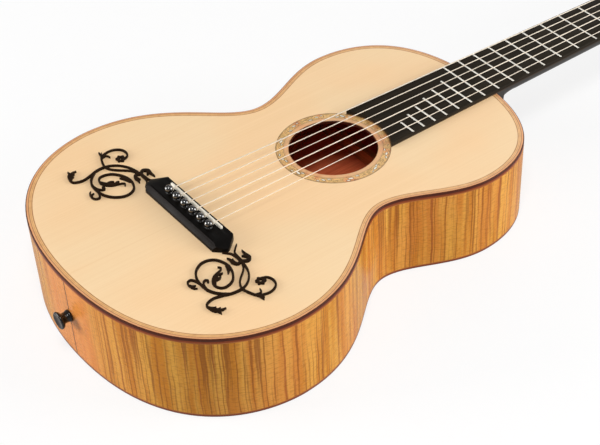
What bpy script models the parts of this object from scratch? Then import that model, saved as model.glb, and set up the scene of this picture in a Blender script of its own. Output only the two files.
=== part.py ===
"""Romantic guitar: small waisted body, friction pegs, pin bridge with a pair of scroll ornaments.

World frame, in metres: the origin is on the underside of the back, straight below the saddle. +X points to the treble
side, +Y to the headstock, +Z up out of the soundboard. The body is shallower at the neck than at the tail, so what
belongs to the top is modelled in the top's own frame: its origin is where the saddle line meets the soundboard's upper
face, and its XY plane is that face.
"""

import math

import bmesh
import bpy
from mathutils import Matrix, Vector

MM = 0.001
GAP = 0.3 * MM  # left between two pieces that touch on the real guitar
WELD = 0.002 * MM  # points nearer than this are one point
SAME_PLANE = math.radians(0.5)

# Body outline, seen from above: half widths, and places along the body from the saddle line
TAIL_Y = -127.5 * MM
LOWER_Y, LOWER_HALF = -9.3 * MM, 154.4 * MM
WAIST_Y, WAIST_HALF = 127.6 * MM, 90.0 * MM
UPPER_Y, UPPER_HALF = 221.3 * MM, 119.2 * MM
NECK_END_Y = 314.5 * MM
# How far each stretch of the outline runs on before it turns away
TAIL_REACH, LOWER_TAIL_REACH = 144.1 * MM, 21.5 * MM
LOWER_WAIST_REACH, WAIST_LOWER_REACH = 77.7 * MM, 34.7 * MM
WAIST_UPPER_REACH, UPPER_WAIST_REACH = 27.6 * MM, 38.3 * MM
UPPER_NECK_REACH, NECK_REACH = 31.1 * MM, 106.2 * MM
SPAN_STEPS = 10  # straight pieces in each stretch of the outline

# Body shell
DEPTH = 85.1 * MM  # back to top, measured at the saddle line
TAPER = math.radians(1.232)  # the body gets shallower towards the neck
TOP_THICK = 2.6 * MM
BACK_THICK = 2.5 * MM
RIB_THICK = 2.1 * MM
BINDING_WIDE = 2.4 * MM
TOP_BINDING_TALL = 5.0 * MM
BACK_BINDING_TALL = 3.0 * MM
PURFLING_WIDE = 3.3 * MM
INLAY_DEEP = 1.2 * MM  # depth of the steps that hold the purfling and the rosette
HOLE_Y, HOLE_RADIUS = 143.9 * MM, 39.3 * MM
ROSETTE_RADIUS = 50.8 * MM

# Inside the body
LINING_WIDE, TOP_LINING_TALL, BACK_LINING_TALL = 4.5 * MM, 11.0 * MM, 10.0 * MM
TAIL_BLOCK_HALF, TAIL_BLOCK_DEEP = 30.0 * MM, 14.0 * MM
NECK_BLOCK_HALF, NECK_BLOCK_DEEP = 33.0 * MM, 34.0 * MM
BRACE_WIDE, BRACE_TALL, BRACE_END_TALL, BRACE_SLOPE = 7.0 * MM, 14.0 * MM, 5.0 * MM, 28.0 * MM
TOP_BRACES = {"lower_brace": -70 * MM, "hole_brace": 88 * MM, "shoulder_brace": 203 * MM,
              "upper_brace": NECK_END_Y - 56.5 * MM}
BACK_BRACES = {"back_brace_1": -78 * MM, "back_brace_2": 22 * MM, "back_brace_3": 118 * MM, "back_brace_4": 216 * MM}
PLATE_HALF, PLATE_FRONT, PLATE_REAR, PLATE_THICK = 62.0 * MM, 10.0 * MM, -28.0 * MM, 2.2 * MM

# Scale, fingerboard and frets
SCALE = 630.0 * MM  # saddle to nut
BOARD_HALF_NUT, BOARD_HALF_OCTAVE = 24.0 * MM, 29.4 * MM
BOARD_THICK = 3.9 * MM
FRET_COUNT, FULL_FRETS = 19, 13
FRET_WIDE, FRET_CROWN_WIDE, FRET_TALL, FRET_INSET = 2.0 * MM, 1.0 * MM, 0.9 * MM, 0.5 * MM
LAST_FRET_X, SHORT_FRET_STEP = 13.0 * MM, 5.2 * MM  # bass end of the last fret, and the step to the one before

# Neck, heel and headstock
NECK_DEPTH_NUT, NECK_DEPTH_HEEL = 14.5 * MM, 16.5 * MM
NECK_SIDES = 12  # straight pieces across the back of the neck
NECK_FLAT = 1.5 * MM  # half the flat along the middle of its back
NECK_FALL, HEEL_FALL = 1.05, 1.9  # how soon neck and heel narrow towards their back, 1 being an ellipse
HEEL_CURVE, HEEL_FOOT = 18.0 * MM, 8.0 * MM
HEEL_HALF_TIP, HEEL_HALF_BODY = 6.0 * MM, 11.0 * MM
CAP_THICK = 3.0 * MM
TENON_HALF, TENON_DEEP, TENON_TOP, TENON_FOOT = 9.0 * MM, 24.0 * MM, 8.0 * MM, 9.0 * MM
NUT_THICK = 5.0 * MM
HEAD_TILT = math.radians(10)
HEAD_THICK = 14.0 * MM
HEAD_HALF = ((24, 0), (26, 9), (31.5, 22), (34.5, 37), (33.5, 53), (30.7, 70), (32, 86), (36.5, 102), (37.5, 117),
             (33.5, 131), (25.5, 138), (15.5, 139.5), (8.5, 143), (5, 149), (0, 151))  # millimetres, right half

# Pegs
PEG_X = 22.0 * MM
PEG_ROWS = (36 * MM, 73 * MM, 111 * MM)
PEG_RADIUS, PEG_POST_RADIUS, PEG_POST_TALL = 3.6 * MM, 3.3 * MM, 12.0 * MM
PEG_COLLAR_RADIUS, PEG_STEM_RADIUS, PEG_STEM_LONG = 5.3 * MM, 2.6 * MM, 7.0 * MM
THUMB_HALF_WIDE, THUMB_HALF_THICK, THUMB_HALF_TALL = 10.0 * MM, 3.2 * MM, 7.5 * MM
PEG_TURNS_DEG = (20, -35, 60, -15, 40, -55)  # how each thumb piece happens to stand
PEG_SIDES = 10

# Bridge and saddle
BRIDGE_TALL = 6.7 * MM
BRIDGE_TIP_X, BRIDGE_TIP_Y = 57.0 * MM, -8.5 * MM
BRIDGE_END = ((-9.3, 12.0), (-6.9, 9.4), (-3.3, 5.3), (-0.6, 1.8), (0, 0), (-1.5, -3.0), (-4.4, -6.4),
              (-8.0, -10.0))  # millimetres from the tip, from the front edge to the rear edge
BRIDGE_REAR = -18.5 * MM
BRIDGE_REAR_FLAT, BRIDGE_REAR_TALL = -15.0 * MM, 2.2 * MM
BRIDGE_END_FLAT, BRIDGE_END_TALL = 47.0 * MM, 3.4 * MM
SADDLE_HALF, SADDLE_THICK, SADDLE_TOP, SLOT_DEEP = 37.0 * MM, 2.4 * MM, 9.2 * MM, 3.6 * MM

# Bridge pins
PIN_Y = -7.5 * MM
PIN_BALL_RADIUS, PIN_BALL_MID, PIN_NECK_RADIUS = 3.6 * MM, 3.9 * MM, 1.8 * MM
PIN_COLLAR_RADIUS, PIN_COLLAR_TALL = 3.0 * MM, 0.6 * MM
PIN_RADIUS, PIN_TIP_RADIUS, PIN_LONG = 2.35 * MM, 1.9 * MM, 16.0 * MM
GROOVE_HALF, GROOVE_FLOOR = 0.95 * MM, 1.5 * MM
PIN_SIDES = 10

# End pin, in the middle of the tail
END_PIN_Z = 46.2 * MM
END_PIN_HEAD, END_PIN_NECK, END_PIN_COLLAR, END_PIN_SHANK = 7.8 * MM, 4.7 * MM, 5.4 * MM, 4.0 * MM
END_PIN_OUT, END_PIN_IN = 11.2 * MM, 20.0 * MM

# Strings, first (treble) to sixth (bass)
STRING_WIDE = (0.7 * MM, 0.8 * MM, 1.0 * MM, 0.75 * MM, 0.9 * MM, 1.1 * MM)
STRINGS_HALF_SADDLE, STRINGS_HALF_NUT = 29.0 * MM, 19.8 * MM
STRING_AT_NUT = 5.9 * MM
STRING_IN_HOLE_Y = 2.4 * MM  # in front of the pin's axis
STRING_END_Z = -9.0 * MM
TURNS, TURN_POINTS, TURN_SPACE, FIRST_TURN = 3, 10, 0.6 * MM, 2.4 * MM

# Scroll ornament beside the bridge. Each stroke: widths at its start, middle and end, then the points that it runs
# through, all in millimetres from the tip of the bridge, outwards and towards the neck.
SCROLL_THICK = 1.5 * MM
TREBLE_SCROLL_OUT, TREBLE_SCROLL_UP = 1.5 * MM, 1.8 * MM  # how far it is set off from the bass scroll's mirror image
SCROLL = {
    "spiral": ((1.7, 1.7, 1.0), ((16, -41.5), (9.5, -39.9), (4, -36.8), (0, -32.5), (-2.6, -27), (-2.4, -21.3),
               (0.3, -16.5), (5, -13.5), (12, -11.8), (19, -12.8), (25, -15.7), (29.7, -19.6), (32, -24.7),
               (32, -29.7), (29, -32.8), (24, -33.7), (19.5, -31.5), (16, -27.3), (14.6, -23), (13.2, -19.2),
               (11.3, -18), (9.4, -19.3))),
    "stem": ((1.9, 1.8, 1.0), ((41, -29.8), (37.5, -34), (33, -38), (27, -40.8), (21, -41.4), (16, -41.5),
             (11.5, -42.7), (8.5, -45), (9.5, -48.3), (13, -49.5), (16, -48.8))),
    "hook": ((1.9, 1.6, 1.0), ((42, -19.1), (42, -24.5), (41, -29.8), (39, -35.5), (37.2, -43.3), (39.2, -50.3),
             (43.1, -52), (49.2, -50.2), (51.3, -47), (52, -41.7))),
    "inner_lens": ((1.3, 1.3, 1.6), ((13.6, -0.3), (23.3, -4.5), (31.8, -13.5), (36.8, -17.4), (42.4, -19.3))),
    "outer_lens": ((1.7, 1.4, 1.5), ((13.0, -0.2), (23.5, -1.9), (30.5, -4.5), (36.5, -9), (40.5, -14.5),
                   (42.2, -19.9))),
    "front_prong": ((0.8, 1.2, 1.9), ((-4.1, 8.4), (0.4, 3.5), (4.2, 0.9), (14.6, -0.1))),
    "rear_prong": ((0.8, 1.2, 1.9), ((-2.8, -6.6), (0.6, -3.5), (4.2, -1.3), (14.8, -0.5))),
    "front_leaf": ((1.9, 2.4, 0.9), ((13.9, -0.9), (17.6, 3.6), (14.9, 7.2), (9.8, 7.7), (4.5, 6.6))),
    "rear_leaf": ((1.9, 2.2, 0.9), ((14.1, 0.4), (15.9, -4.4), (12, -6.7), (6, -6.8), (3.6, -8.2))),
    "curl": ((1.3, 1.3, 1.1), ((26, -41.0), (20.5, -40.2), (17.2, -38.4), (15.9, -36), (17.2, -34.6), (19, -35.4))),
    "tendril": ((1.6, 1.6, 1.1), ((41.4, -19.4), (47.3, -17.9), (53, -15.7), (56.6, -13.7), (62, -12.7))),
    "tooth": ((1.3, 1.2, 0.8), ((53.7, -15.6), (54.8, -11.3), (53.6, -9.1), (50.8, -8.4))),
    "flower_stem": ((1.3, 1.5, 1.4), ((56.3, -14.2), (58.4, -7.1), (58.3, -1.5), (55.6, 3.4), (51.6, 5.8),
                    (46.6, 5.9), (42.9, 3.9), (41.6, 0.5))),
    "spiral_leaf": ((2.0, 1.6, 0.8), ((26, -16.6), (24.4, -18.8), (23.6, -21.4))),
    "hook_leaf": ((1.8, 1.4, 0.8), ((44.6, -51.6), (45.8, -48.6), (45.9, -45.6))),
}
FLOWER_X, FLOWER_Y, FLOWER_RADIUS, FLOWER_EYE = 42.9 * MM, -2.4 * MM, 4.1 * MM, 1.1 * MM

# Finishes: colour, roughness, metallic
FINISHES = {
    "spruce": ((0.89, 0.70, 0.42), 0.35, 0.0),
    "flamed_wood": ((0.50, 0.24, 0.07), 0.2, 0.0),
    "inner_wood": ((0.55, 0.36, 0.18), 0.6, 0.0),
    "binding_wood": ((0.22, 0.09, 0.05), 0.25, 0.0),
    "purfling_wood": ((0.45, 0.38, 0.27), 0.35, 0.0),
    "rosette_wood": ((0.55, 0.33, 0.15), 0.3, 0.0),
    "black_wood": ((0.012, 0.011, 0.012), 0.35, 0.0),
    "bone": ((0.85, 0.80, 0.66), 0.3, 0.0),
    "nylon": ((0.80, 0.76, 0.66), 0.25, 0.0),
}


def clear_scene():
    for obj in list(bpy.data.objects):
        bpy.data.objects.remove(obj)


def collection(name):
    made = bpy.data.collections.new(name)
    bpy.context.scene.collection.children.link(made)
    return made


def make_finishes():
    for name, (colour, roughness, metallic) in FINISHES.items():
        made = bpy.data.materials.new(name)
        made.use_nodes = True
        shader = made.node_tree.nodes["Principled BSDF"]
        shader.inputs["Base Color"].default_value = (*colour, 1)
        shader.inputs["Roughness"].default_value = roughness
        shader.inputs["Metallic"].default_value = metallic


def frame_empty(name, place, tilt, parent=None):
    """An empty whose frame is turned down towards the headstock by tilt."""
    empty = bpy.data.objects.new(name, None)
    empty.location = place
    empty.rotation_euler.x = -tilt
    empty.parent = parent
    PARTS.objects.link(empty)
    return empty


def add(name, data, parent=None):
    obj = bpy.data.objects.new(name, data)
    obj.parent = parent
    PARTS.objects.link(obj)
    return obj


def finish(obj, material):
    obj.data.materials.clear()
    obj.data.materials.append(bpy.data.materials[material])
    return obj


def smooth(obj, angle=35):
    """Shades a round piece smooth and keeps its real edges sharp."""
    obj.data.shade_smooth()
    obj.data.set_sharp_from_angle(angle=math.radians(angle))
    return obj


def mesh_of(name, bm):
    bmesh.ops.recalc_face_normals(bm, faces=bm.faces)
    mesh = bpy.data.meshes.new(name)
    bm.to_mesh(mesh)
    bm.free()
    return mesh


def helper(obj):
    """Makes obj a cutter or a piece to join: kept in the file, but no part of the guitar."""
    PARTS.objects.unlink(obj)
    HELPERS.objects.link(obj)
    obj.hide_render = True
    obj.display_type = "WIRE"
    return obj


def boolean(target, other, operation):
    helper(other)
    modifier = target.modifiers.new(other.name, "BOOLEAN")
    modifier.operation = operation
    modifier.object = other
    return target


def cut(target, cutter):
    return boolean(target, cutter, "DIFFERENCE")


def join(target, piece):
    return boolean(target, piece, "UNION")


def as_mesh(obj):
    """The object again as a plain mesh with its modifiers applied, welded, and with its faces outwards."""
    bpy.context.view_layer.update()
    evaluated = obj.evaluated_get(bpy.context.evaluated_depsgraph_get())
    bm = bmesh.new()
    bm.from_mesh(bpy.data.meshes.new_from_object(evaluated))
    bmesh.ops.remove_doubles(bm, verts=bm.verts, dist=WELD)
    name, parent = obj.name, obj.parent
    place = obj.matrix_basis.copy()
    bpy.data.objects.remove(obj)
    made = add(name, mesh_of(name, bm), parent)
    made.matrix_basis = place
    return made


def slab(name, loops, low, high, parent=None):
    """A flat piece with the given closed outlines (the first is the outside, the others are holes) from low to high.

    low and high are heights, or functions that give the height at a place along the body.
    """
    curve = bpy.data.curves.new(name, "CURVE")
    curve.dimensions = "2D"
    curve.fill_mode = "BOTH"
    curve.extrude = MM
    for loop in loops:
        spline = curve.splines.new("POLY")
        spline.points.add(len(loop) - 1)
        for point, (x, y) in zip(spline.points, loop):
            point.co = (x, y, 0, 1)
        spline.use_cyclic_u = True
    obj = as_mesh(add(name, curve, parent))
    for vertex in obj.data.vertices:
        height = high if vertex.co.z > 0 else low
        vertex.co.z = height(vertex.co.y) if callable(height) else height
    return simplified(obj)


def simplified(obj):
    """The object's mesh with the triangles of each flat face made into one face."""
    bm = bmesh.new()
    bm.from_mesh(obj.data)
    bmesh.ops.dissolve_limit(bm, angle_limit=SAME_PLANE, verts=bm.verts, edges=bm.edges)
    bm.to_mesh(obj.data)
    bm.free()
    return obj


def boxes(name, corners, parent=None):
    """One mesh of separate boxes, each given by its lowest and highest corner."""
    bm = bmesh.new()
    for low, high in corners:
        low, high = Vector(low), Vector(high)
        place = Matrix.Translation((low + high) / 2) @ Matrix.Diagonal((*(high - low), 1))
        bmesh.ops.create_cube(bm, size=1, matrix=place)
    return add(name, mesh_of(name, bm), parent)


def rods(name, centres, radius, low, high, parent=None, sides=24):
    """One mesh of separate upright cylinders."""
    bm = bmesh.new()
    for x, y in centres:
        place = Matrix.Translation((x, y, (low + high) / 2))
        bmesh.ops.create_cone(bm, cap_ends=True, segments=sides, radius1=radius, radius2=radius, depth=high - low,
                              matrix=place)
    return add(name, mesh_of(name, bm), parent)


def turned(name, profile, sides, parent=None):
    """A piece turned about Z. The profile of (radius, height) runs down its outer side from the axis to the axis."""
    mesh = bpy.data.meshes.new(name)
    mesh.from_pydata([(r, 0, z) for r, z in profile], [(i, i + 1) for i in range(len(profile) - 1)], [])
    obj = add(name, mesh, parent)
    screw = obj.modifiers.new("turn", "SCREW")
    screw.steps = screw.render_steps = sides
    screw.use_merge_vertices = True
    screw.merge_threshold = WELD
    return as_mesh(obj)


def tube(name, points, wide, parent=None, resolution=2):
    curve = bpy.data.curves.new(name, "CURVE")
    curve.dimensions = "3D"
    curve.bevel_depth = wide / 2
    curve.bevel_resolution = resolution
    curve.use_fill_caps = True
    spline = curve.splines.new("POLY")
    spline.points.add(len(points) - 1)
    for point, place in zip(spline.points, points):
        point.co = (*place, 1)
    return add(name, curve, parent)


def bezier(start, start_handle, end_handle, end, steps):
    """Points along a Bezier curve, without its last one."""
    made = []
    for i in range(steps):
        t = i / steps
        parts = ((1 - t) ** 3, 3 * t * (1 - t) ** 2, 3 * t * t * (1 - t), t ** 3)
        made.append(tuple(sum(k * p[axis] for k, p in zip(parts, (start, start_handle, end_handle, end)))
                          for axis in (0, 1)))
    return made


def smooth_line(points, steps):
    """A smooth line through the points, with this many pieces between two of them."""
    made = []
    for i in range(len(points) - 1):
        before, a, b = points[max(i - 1, 0)], points[i], points[i + 1]
        after = points[min(i + 2, len(points) - 1)]
        lead = tuple(a[k] + (b[k] - before[k]) / 6 for k in (0, 1))
        trail = tuple(b[k] - (after[k] - a[k]) / 6 for k in (0, 1))
        made += bezier(a, lead, trail, b, steps)
    return made + [tuple(points[-1])]


def body_half():
    """The treble half of the body's outline, from the tail to the neck."""
    tail, lower = (0, TAIL_Y), (LOWER_HALF, LOWER_Y)
    waist, upper, neck = (WAIST_HALF, WAIST_Y), (UPPER_HALF, UPPER_Y), (0, NECK_END_Y)
    return (bezier(tail, (TAIL_REACH, TAIL_Y), (LOWER_HALF, LOWER_Y - LOWER_TAIL_REACH), lower, SPAN_STEPS)
            + bezier(lower, (LOWER_HALF, LOWER_Y + LOWER_WAIST_REACH), (WAIST_HALF, WAIST_Y - WAIST_LOWER_REACH),
                     waist, SPAN_STEPS)
            + bezier(waist, (WAIST_HALF, WAIST_Y + WAIST_UPPER_REACH), (UPPER_HALF, UPPER_Y - UPPER_WAIST_REACH),
                     upper, SPAN_STEPS)
            + bezier(upper, (UPPER_HALF, UPPER_Y + UPPER_NECK_REACH), (NECK_REACH, NECK_END_Y), neck, SPAN_STEPS)
            + [neck])


def mirrored(half):
    """The closed loop of a treble half and its mirror image."""
    return half + [(-x, y) for x, y in half[-2:0:-1]]


def inset_half(distance):
    """The treble half of the body's outline, drawn in by distance."""
    loop = mirrored(body_half())
    made = []
    for i, (x, y) in enumerate(loop[:len(loop) // 2 + 1]):
        before, after = loop[i - 1], loop[(i + 1) % len(loop)]
        along = Vector((after[0] - before[0], after[1] - before[1])).normalized()
        made.append((x - along.y * distance, y + along.x * distance))
    return made


def inset(distance):
    return mirrored(inset_half(distance))


def crossing(a, b, x):
    """The point of the line from a to b at this x."""
    share = (x - a[0]) / (b[0] - a[0])
    return (x, a[1] + share * (b[1] - a[1]))


def outside(half, x_tail, x_neck):
    """The stretch of a half outline that lies beyond x_tail at the tail and beyond x_neck at the neck."""
    middle = len(half) // 2
    first = next(i for i in range(middle) if half[i][0] > x_tail)
    last = next(i for i in range(len(half) - 1, middle, -1) if half[i][0] > x_neck)
    return ([crossing(half[first - 1], half[first], x_tail)] + half[first:last + 1]
            + [crossing(half[last], half[last + 1], x_neck)])


def strip(distance, wide, x_tail, x_neck, side):
    """The closed outline of a bent strip of this width that follows one side of the body."""
    outer = outside(inset_half(distance), x_tail, x_neck)
    inner = outside(inset_half(distance + wide), x_tail, x_neck)
    return [(side * x, y) for x, y in outer + inner[::-1]]


def half_width_at(y, distance):
    """Half the body's inner width at this place along it, distance in from the outline."""
    half = inset_half(distance)
    for a, b in zip(half, half[1:]):
        if a[1] <= y <= b[1] and b[1] > a[1]:
            return a[0] + (b[0] - a[0]) * (y - a[1]) / (b[1] - a[1])
    return 0.0


def circle(radius, y=0.0, x=0.0, points=40):
    turn = 2 * math.pi / points
    return [(x + radius * math.cos(i * turn), y + radius * math.sin(i * turn)) for i in range(points)]


def below_top(depth):
    """The height of the plane that lies depth under the soundboard's upper face, as a function of y."""
    return lambda y: DEPTH - y * math.tan(TAPER) - depth / math.cos(TAPER)


def board_half(y):
    """Half the fingerboard's width at this distance from the saddle."""
    return BOARD_HALF_NUT + (BOARD_HALF_OCTAVE - BOARD_HALF_NUT) * (SCALE - y) / (SCALE / 2)


def string_x(number, half):
    """Place of string 1 to 6 across strings that spread half to each side, the first on the treble side."""
    return half * (1 - 2 * (number - 1) / 5)


def make_shell():
    """Soundboard, back, ribs, bindings, purfling and rosette."""
    edge = BINDING_WIDE + GAP
    inner_edge = edge + PURFLING_WIDE + GAP
    overlap = 0.2 * MM
    top = slab("soundboard", [inset(edge), circle(HOLE_RADIUS, HOLE_Y)], -TOP_THICK, -INLAY_DEEP, TOP)
    join(top, slab("soundboard_face", [inset(inner_edge), circle(ROSETTE_RADIUS + GAP, HOLE_Y)],
                   -INLAY_DEEP - overlap, 0, TOP))
    cut(top, pin_holes("soundboard_pin_holes", PIN_RADIUS + 4 * GAP, -4 * TOP_THICK, TOP_THICK))
    finish(top, "spruce")
    finish(slab("top_purfling", [inset(edge), inset(edge + PURFLING_WIDE)], -INLAY_DEEP + GAP, 0, TOP),
           "purfling_wood")
    finish(slab("rosette", [circle(ROSETTE_RADIUS, HOLE_Y), circle(HOLE_RADIUS, HOLE_Y)], -INLAY_DEEP + GAP, 0, TOP),
           "rosette_wood")
    finish(slab("top_binding", [inset(0), inset(BINDING_WIDE)], -TOP_BINDING_TALL, 0, TOP), "binding_wood")
    finish(slab("back", [inset(edge)], 0, BACK_THICK), "flamed_wood")
    finish(slab("back_binding", [inset(0), inset(BINDING_WIDE)], 0, BACK_BINDING_TALL), "binding_wood")
    for side, name in ((-1, "rib_bass"), (1, "rib_treble")):
        outline = strip(0, RIB_THICK, GAP / 2, TENON_HALF + GAP, side)
        rib = slab(name, [outline], BACK_BINDING_TALL + GAP, below_top(TOP_BINDING_TALL + GAP))
        cut(rib, end_pin_hole(f"{name}_pin_hole"))
        finish(rib, "flamed_wood")


def end_pin_hole(name):
    """A cutter along Y for the end pin's shank."""
    cutter = rods(name, [(0, 0)], END_PIN_SHANK + GAP, -END_PIN_IN, 4 * END_PIN_OUT)
    cutter.location = (0, TAIL_Y, END_PIN_Z)
    cutter.rotation_euler.x = math.pi / 2
    return cutter


def pin_holes(name, radius, low, high):
    centres = [(string_x(n, STRINGS_HALF_SADDLE), PIN_Y) for n in range(1, 7)]
    return rods(name, centres, radius, low, high, TOP, sides=12)


def make_blocks():
    """Tail block and neck block, between the back and the soundboard."""
    edge = BINDING_WIDE + GAP
    half = inset_half(edge)
    middle = len(half) // 2
    low, high = BACK_THICK + GAP, below_top(TOP_THICK + GAP)

    ahead = next(i for i in range(middle) if half[i][0] > TAIL_BLOCK_HALF)
    outer = half[:ahead] + [crossing(half[ahead - 1], half[ahead], TAIL_BLOCK_HALF)]
    face = [(TAIL_BLOCK_HALF, TAIL_Y + edge + TAIL_BLOCK_DEEP)]
    tail = slab("tail_block", [mirrored_loop(outer + face)], low, high)
    cut(tail, end_pin_hole("tail_block_pin_hole"))
    finish(tail, "inner_wood")

    ahead = next(i for i in range(len(half) - 1, middle, -1) if half[i][0] > NECK_BLOCK_HALF)
    outer = [crossing(half[ahead], half[ahead + 1], NECK_BLOCK_HALF)] + half[ahead + 1:]
    face = [(NECK_BLOCK_HALF, NECK_END_Y - edge - NECK_BLOCK_DEEP)]
    block = slab("neck_block", [mirrored_loop(face + outer)], low, high)
    mortise = boxes("neck_mortise", [((-TENON_HALF - GAP, NECK_END_Y - TENON_DEEP - GAP, tenon_foot() - GAP),
                                      (TENON_HALF + GAP, NECK_END_Y + edge, -TENON_TOP + GAP))], TOP)
    cut(block, mortise)
    finish(block, "inner_wood")


def mirrored_loop(half):
    """The closed loop of a treble half and its mirror image, where either end may lie off the axis."""
    return half + [(-x, y) for x, y in half[::-1] if x > 0]


def tenon_foot():
    """The lower end of the neck's tenon, in the top's frame."""
    return -(DEPTH - NECK_END_Y * math.tan(TAPER)) + TENON_FOOT + BACK_THICK


def make_linings():
    edge = BINDING_WIDE + GAP
    tail, neck = TAIL_BLOCK_HALF + GAP, NECK_BLOCK_HALF + GAP
    for side, name in ((-1, "bass"), (1, "treble")):
        outline = strip(edge, LINING_WIDE, tail, neck, side)
        finish(slab(f"top_lining_{name}", [outline], below_top(TOP_THICK + GAP + TOP_LINING_TALL),
                    below_top(TOP_THICK + GAP)), "inner_wood")
        finish(slab(f"back_lining_{name}", [outline], BACK_THICK + GAP, BACK_THICK + GAP + BACK_LINING_TALL),
               "inner_wood")


def brace(name, y, parent, face, away):
    """A brace across the body on an inner face. away is -1 where it stands down from the top, 1 up from the back."""
    reach = min(half_width_at(y + step * BRACE_WIDE / 2, BINDING_WIDE + 2 * GAP + LINING_WIDE) for step in (-1, 1))
    end, crown = face + away * BRACE_END_TALL, face + away * BRACE_TALL
    profile = [(-reach, face), (reach, face), (reach, end), (reach - BRACE_SLOPE, crown),
               (-reach + BRACE_SLOPE, crown), (-reach, end)]
    piece = slab(name, [profile], -BRACE_WIDE / 2, BRACE_WIDE / 2, parent)
    piece.rotation_euler.x = math.pi / 2
    piece.location.y = y
    return finish(piece, "inner_wood")


def make_braces():
    for name, y in TOP_BRACES.items():
        brace(name, y, TOP, -TOP_THICK - GAP, -1)
    for name, y in BACK_BRACES.items():
        brace(name, y, None, BACK_THICK + GAP, 1)
    high = -TOP_THICK - GAP
    plate = boxes("bridge_plate", [((-PLATE_HALF, PLATE_REAR, high - PLATE_THICK), (PLATE_HALF, PLATE_FRONT, high))],
                  TOP)
    cut(plate, pin_holes("bridge_plate_pin_holes", PIN_RADIUS + 4 * GAP, -8 * TOP_THICK, 0))
    finish(plate, "inner_wood")


def fret_y(number):
    return SCALE * 2 ** (-number / 12)


def make_fingerboard():
    """The board, its lower end cut to the rosette's circle, with the fret bars joined to it."""
    radius = ROSETTE_RADIUS + GAP
    corner = HOLE_Y + radius / 2
    for _ in range(20):
        corner = HOLE_Y + math.sqrt(radius ** 2 - board_half(corner) ** 2)
    start = math.atan2(corner - HOLE_Y, board_half(corner))
    steps = 14
    sweep = [start + (math.pi - 2 * start) * i / steps for i in range(steps + 1)]
    arc = [(radius * math.cos(a), HOLE_Y + radius * math.sin(a)) for a in sweep]
    nut_end = [(-BOARD_HALF_NUT, SCALE), (BOARD_HALF_NUT, SCALE)]
    board = slab("fingerboard", [arc + nut_end], GAP, BOARD_TOP, TOP)
    bm = bmesh.new()
    for number in range(1, FRET_COUNT + 1):
        y = fret_y(number)
        high = board_half(y) - FRET_INSET
        low = -high if number <= FULL_FRETS else LAST_FRET_X - SHORT_FRET_STEP * (FRET_COUNT - number)
        foot = BOARD_THICK / 4
        centre = Vector(((low + high) / 2, y, BOARD_TOP + (FRET_TALL - foot) / 2))
        size = Matrix.Diagonal((high - low, FRET_WIDE, FRET_TALL + foot, 1))
        bar = bmesh.ops.create_cube(bm, size=1, matrix=Matrix.Translation(centre) @ size)["verts"]
        for vertex in bar:
            if vertex.co.z > BOARD_TOP:
                vertex.co.y = y + (vertex.co.y - y) * FRET_CROWN_WIDE / FRET_WIDE
    join(board, add("fret_bars", mesh_of("fret_bars", bm), TOP))
    finish(board, "black_wood")


def neck_section(y, depth, foot_half, fall, lean=0.0):
    """One cross-section of the neck in the top's frame: from its treble edge round below to its bass edge.

    foot_half is half the flat stretch at its deepest, fall sets how soon it narrows, and lean tilts its plane.
    """
    wide = board_half(min(y, SCALE))
    half = []
    for i in range(NECK_SIDES // 2 + 1):
        turn = math.pi * i / NECK_SIDES
        x = foot_half + (wide - foot_half) * max(math.cos(turn), 0) ** fall
        down = depth * math.sin(turn)
        half.append(Vector((x, y - down * math.sin(lean), -down * math.cos(lean))))
    return half + [Vector((-point.x, point.y, point.z)) for point in half[::-1]]


def make_neck():
    """Neck, heel and tenon in one piece, lofted along the neck, then cut to the body's outline."""
    end = SCALE + NUT_THICK
    heel_start = NECK_END_Y + HEEL_FOOT + HEEL_CURVE
    rings = [neck_section(end, HEAD_THICK, NECK_FLAT, 0.3, HEAD_TILT),
             neck_section(SCALE - 8 * MM, NECK_DEPTH_NUT, NECK_FLAT, 0.5),
             neck_section(SCALE - 30 * MM, NECK_DEPTH_NUT, NECK_FLAT, 0.95)]
    for share in (0.75, 0.5, 0.25, 0):
        y = heel_start + (SCALE - 30 * MM - heel_start) * share
        depth = NECK_DEPTH_HEEL + (NECK_DEPTH_NUT - NECK_DEPTH_HEEL) * share
        rings.append(neck_section(y, depth, NECK_FLAT, NECK_FALL))
    steps = 6
    for i in range(1, steps + 1):
        turn = math.pi / 2 * i / steps
        y = heel_start - HEEL_CURVE * math.sin(turn)
        depth = NECK_DEPTH_HEEL + HEEL_CURVE * (1 - math.cos(turn))
        foot = NECK_FLAT + (HEEL_HALF_TIP - NECK_FLAT) * (i / steps) ** 2
        rings.append(neck_section(y, depth, foot, NECK_FALL + (HEEL_FALL - NECK_FALL) * i / steps))
    inside = NECK_END_Y - 4 * MM
    for y, foot in ((heel_start - HEEL_CURVE - 0.4 * MM, HEEL_HALF_TIP), (inside, HEEL_HALF_BODY)):
        rings.append(neck_section(y, heel_depth(y), foot, HEEL_FALL))
    bm = bmesh.new()
    loops = [[bm.verts.new(point) for point in ring] for ring in rings]
    for one, two in zip(loops, loops[1:]):
        for i in range(len(one)):
            j = (i + 1) % len(one)
            bm.faces.new((one[i], one[j], two[j], two[i]))
    bm.faces.new(loops[0])
    bm.faces.new(loops[-1])
    bmesh.ops.triangulate(bm, faces=bm.faces)
    neck = add("neck", mesh_of("neck", bm), TOP)
    cut(neck, slab("body_for_neck", [inset(-GAP)], -DEPTH, 2 * DEPTH))
    join(neck, boxes("neck_tenon", [((-TENON_HALF, NECK_END_Y - TENON_DEEP, tenon_foot()),
                                     (TENON_HALF, NECK_END_Y + 2 * MM, -TENON_TOP))], TOP))
    finish(neck, "black_wood")
    tip_y = heel_start - HEEL_CURVE
    tip = TOP.matrix_world @ Vector((0, tip_y, -heel_depth(tip_y)))
    footprint = [(HEEL_HALF_BODY, NECK_END_Y + GAP), (HEEL_HALF_TIP, tip.y)]
    finish(slab("heel_cap", [mirrored_loop(footprint)], 0, CAP_THICK), "black_wood")


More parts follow.
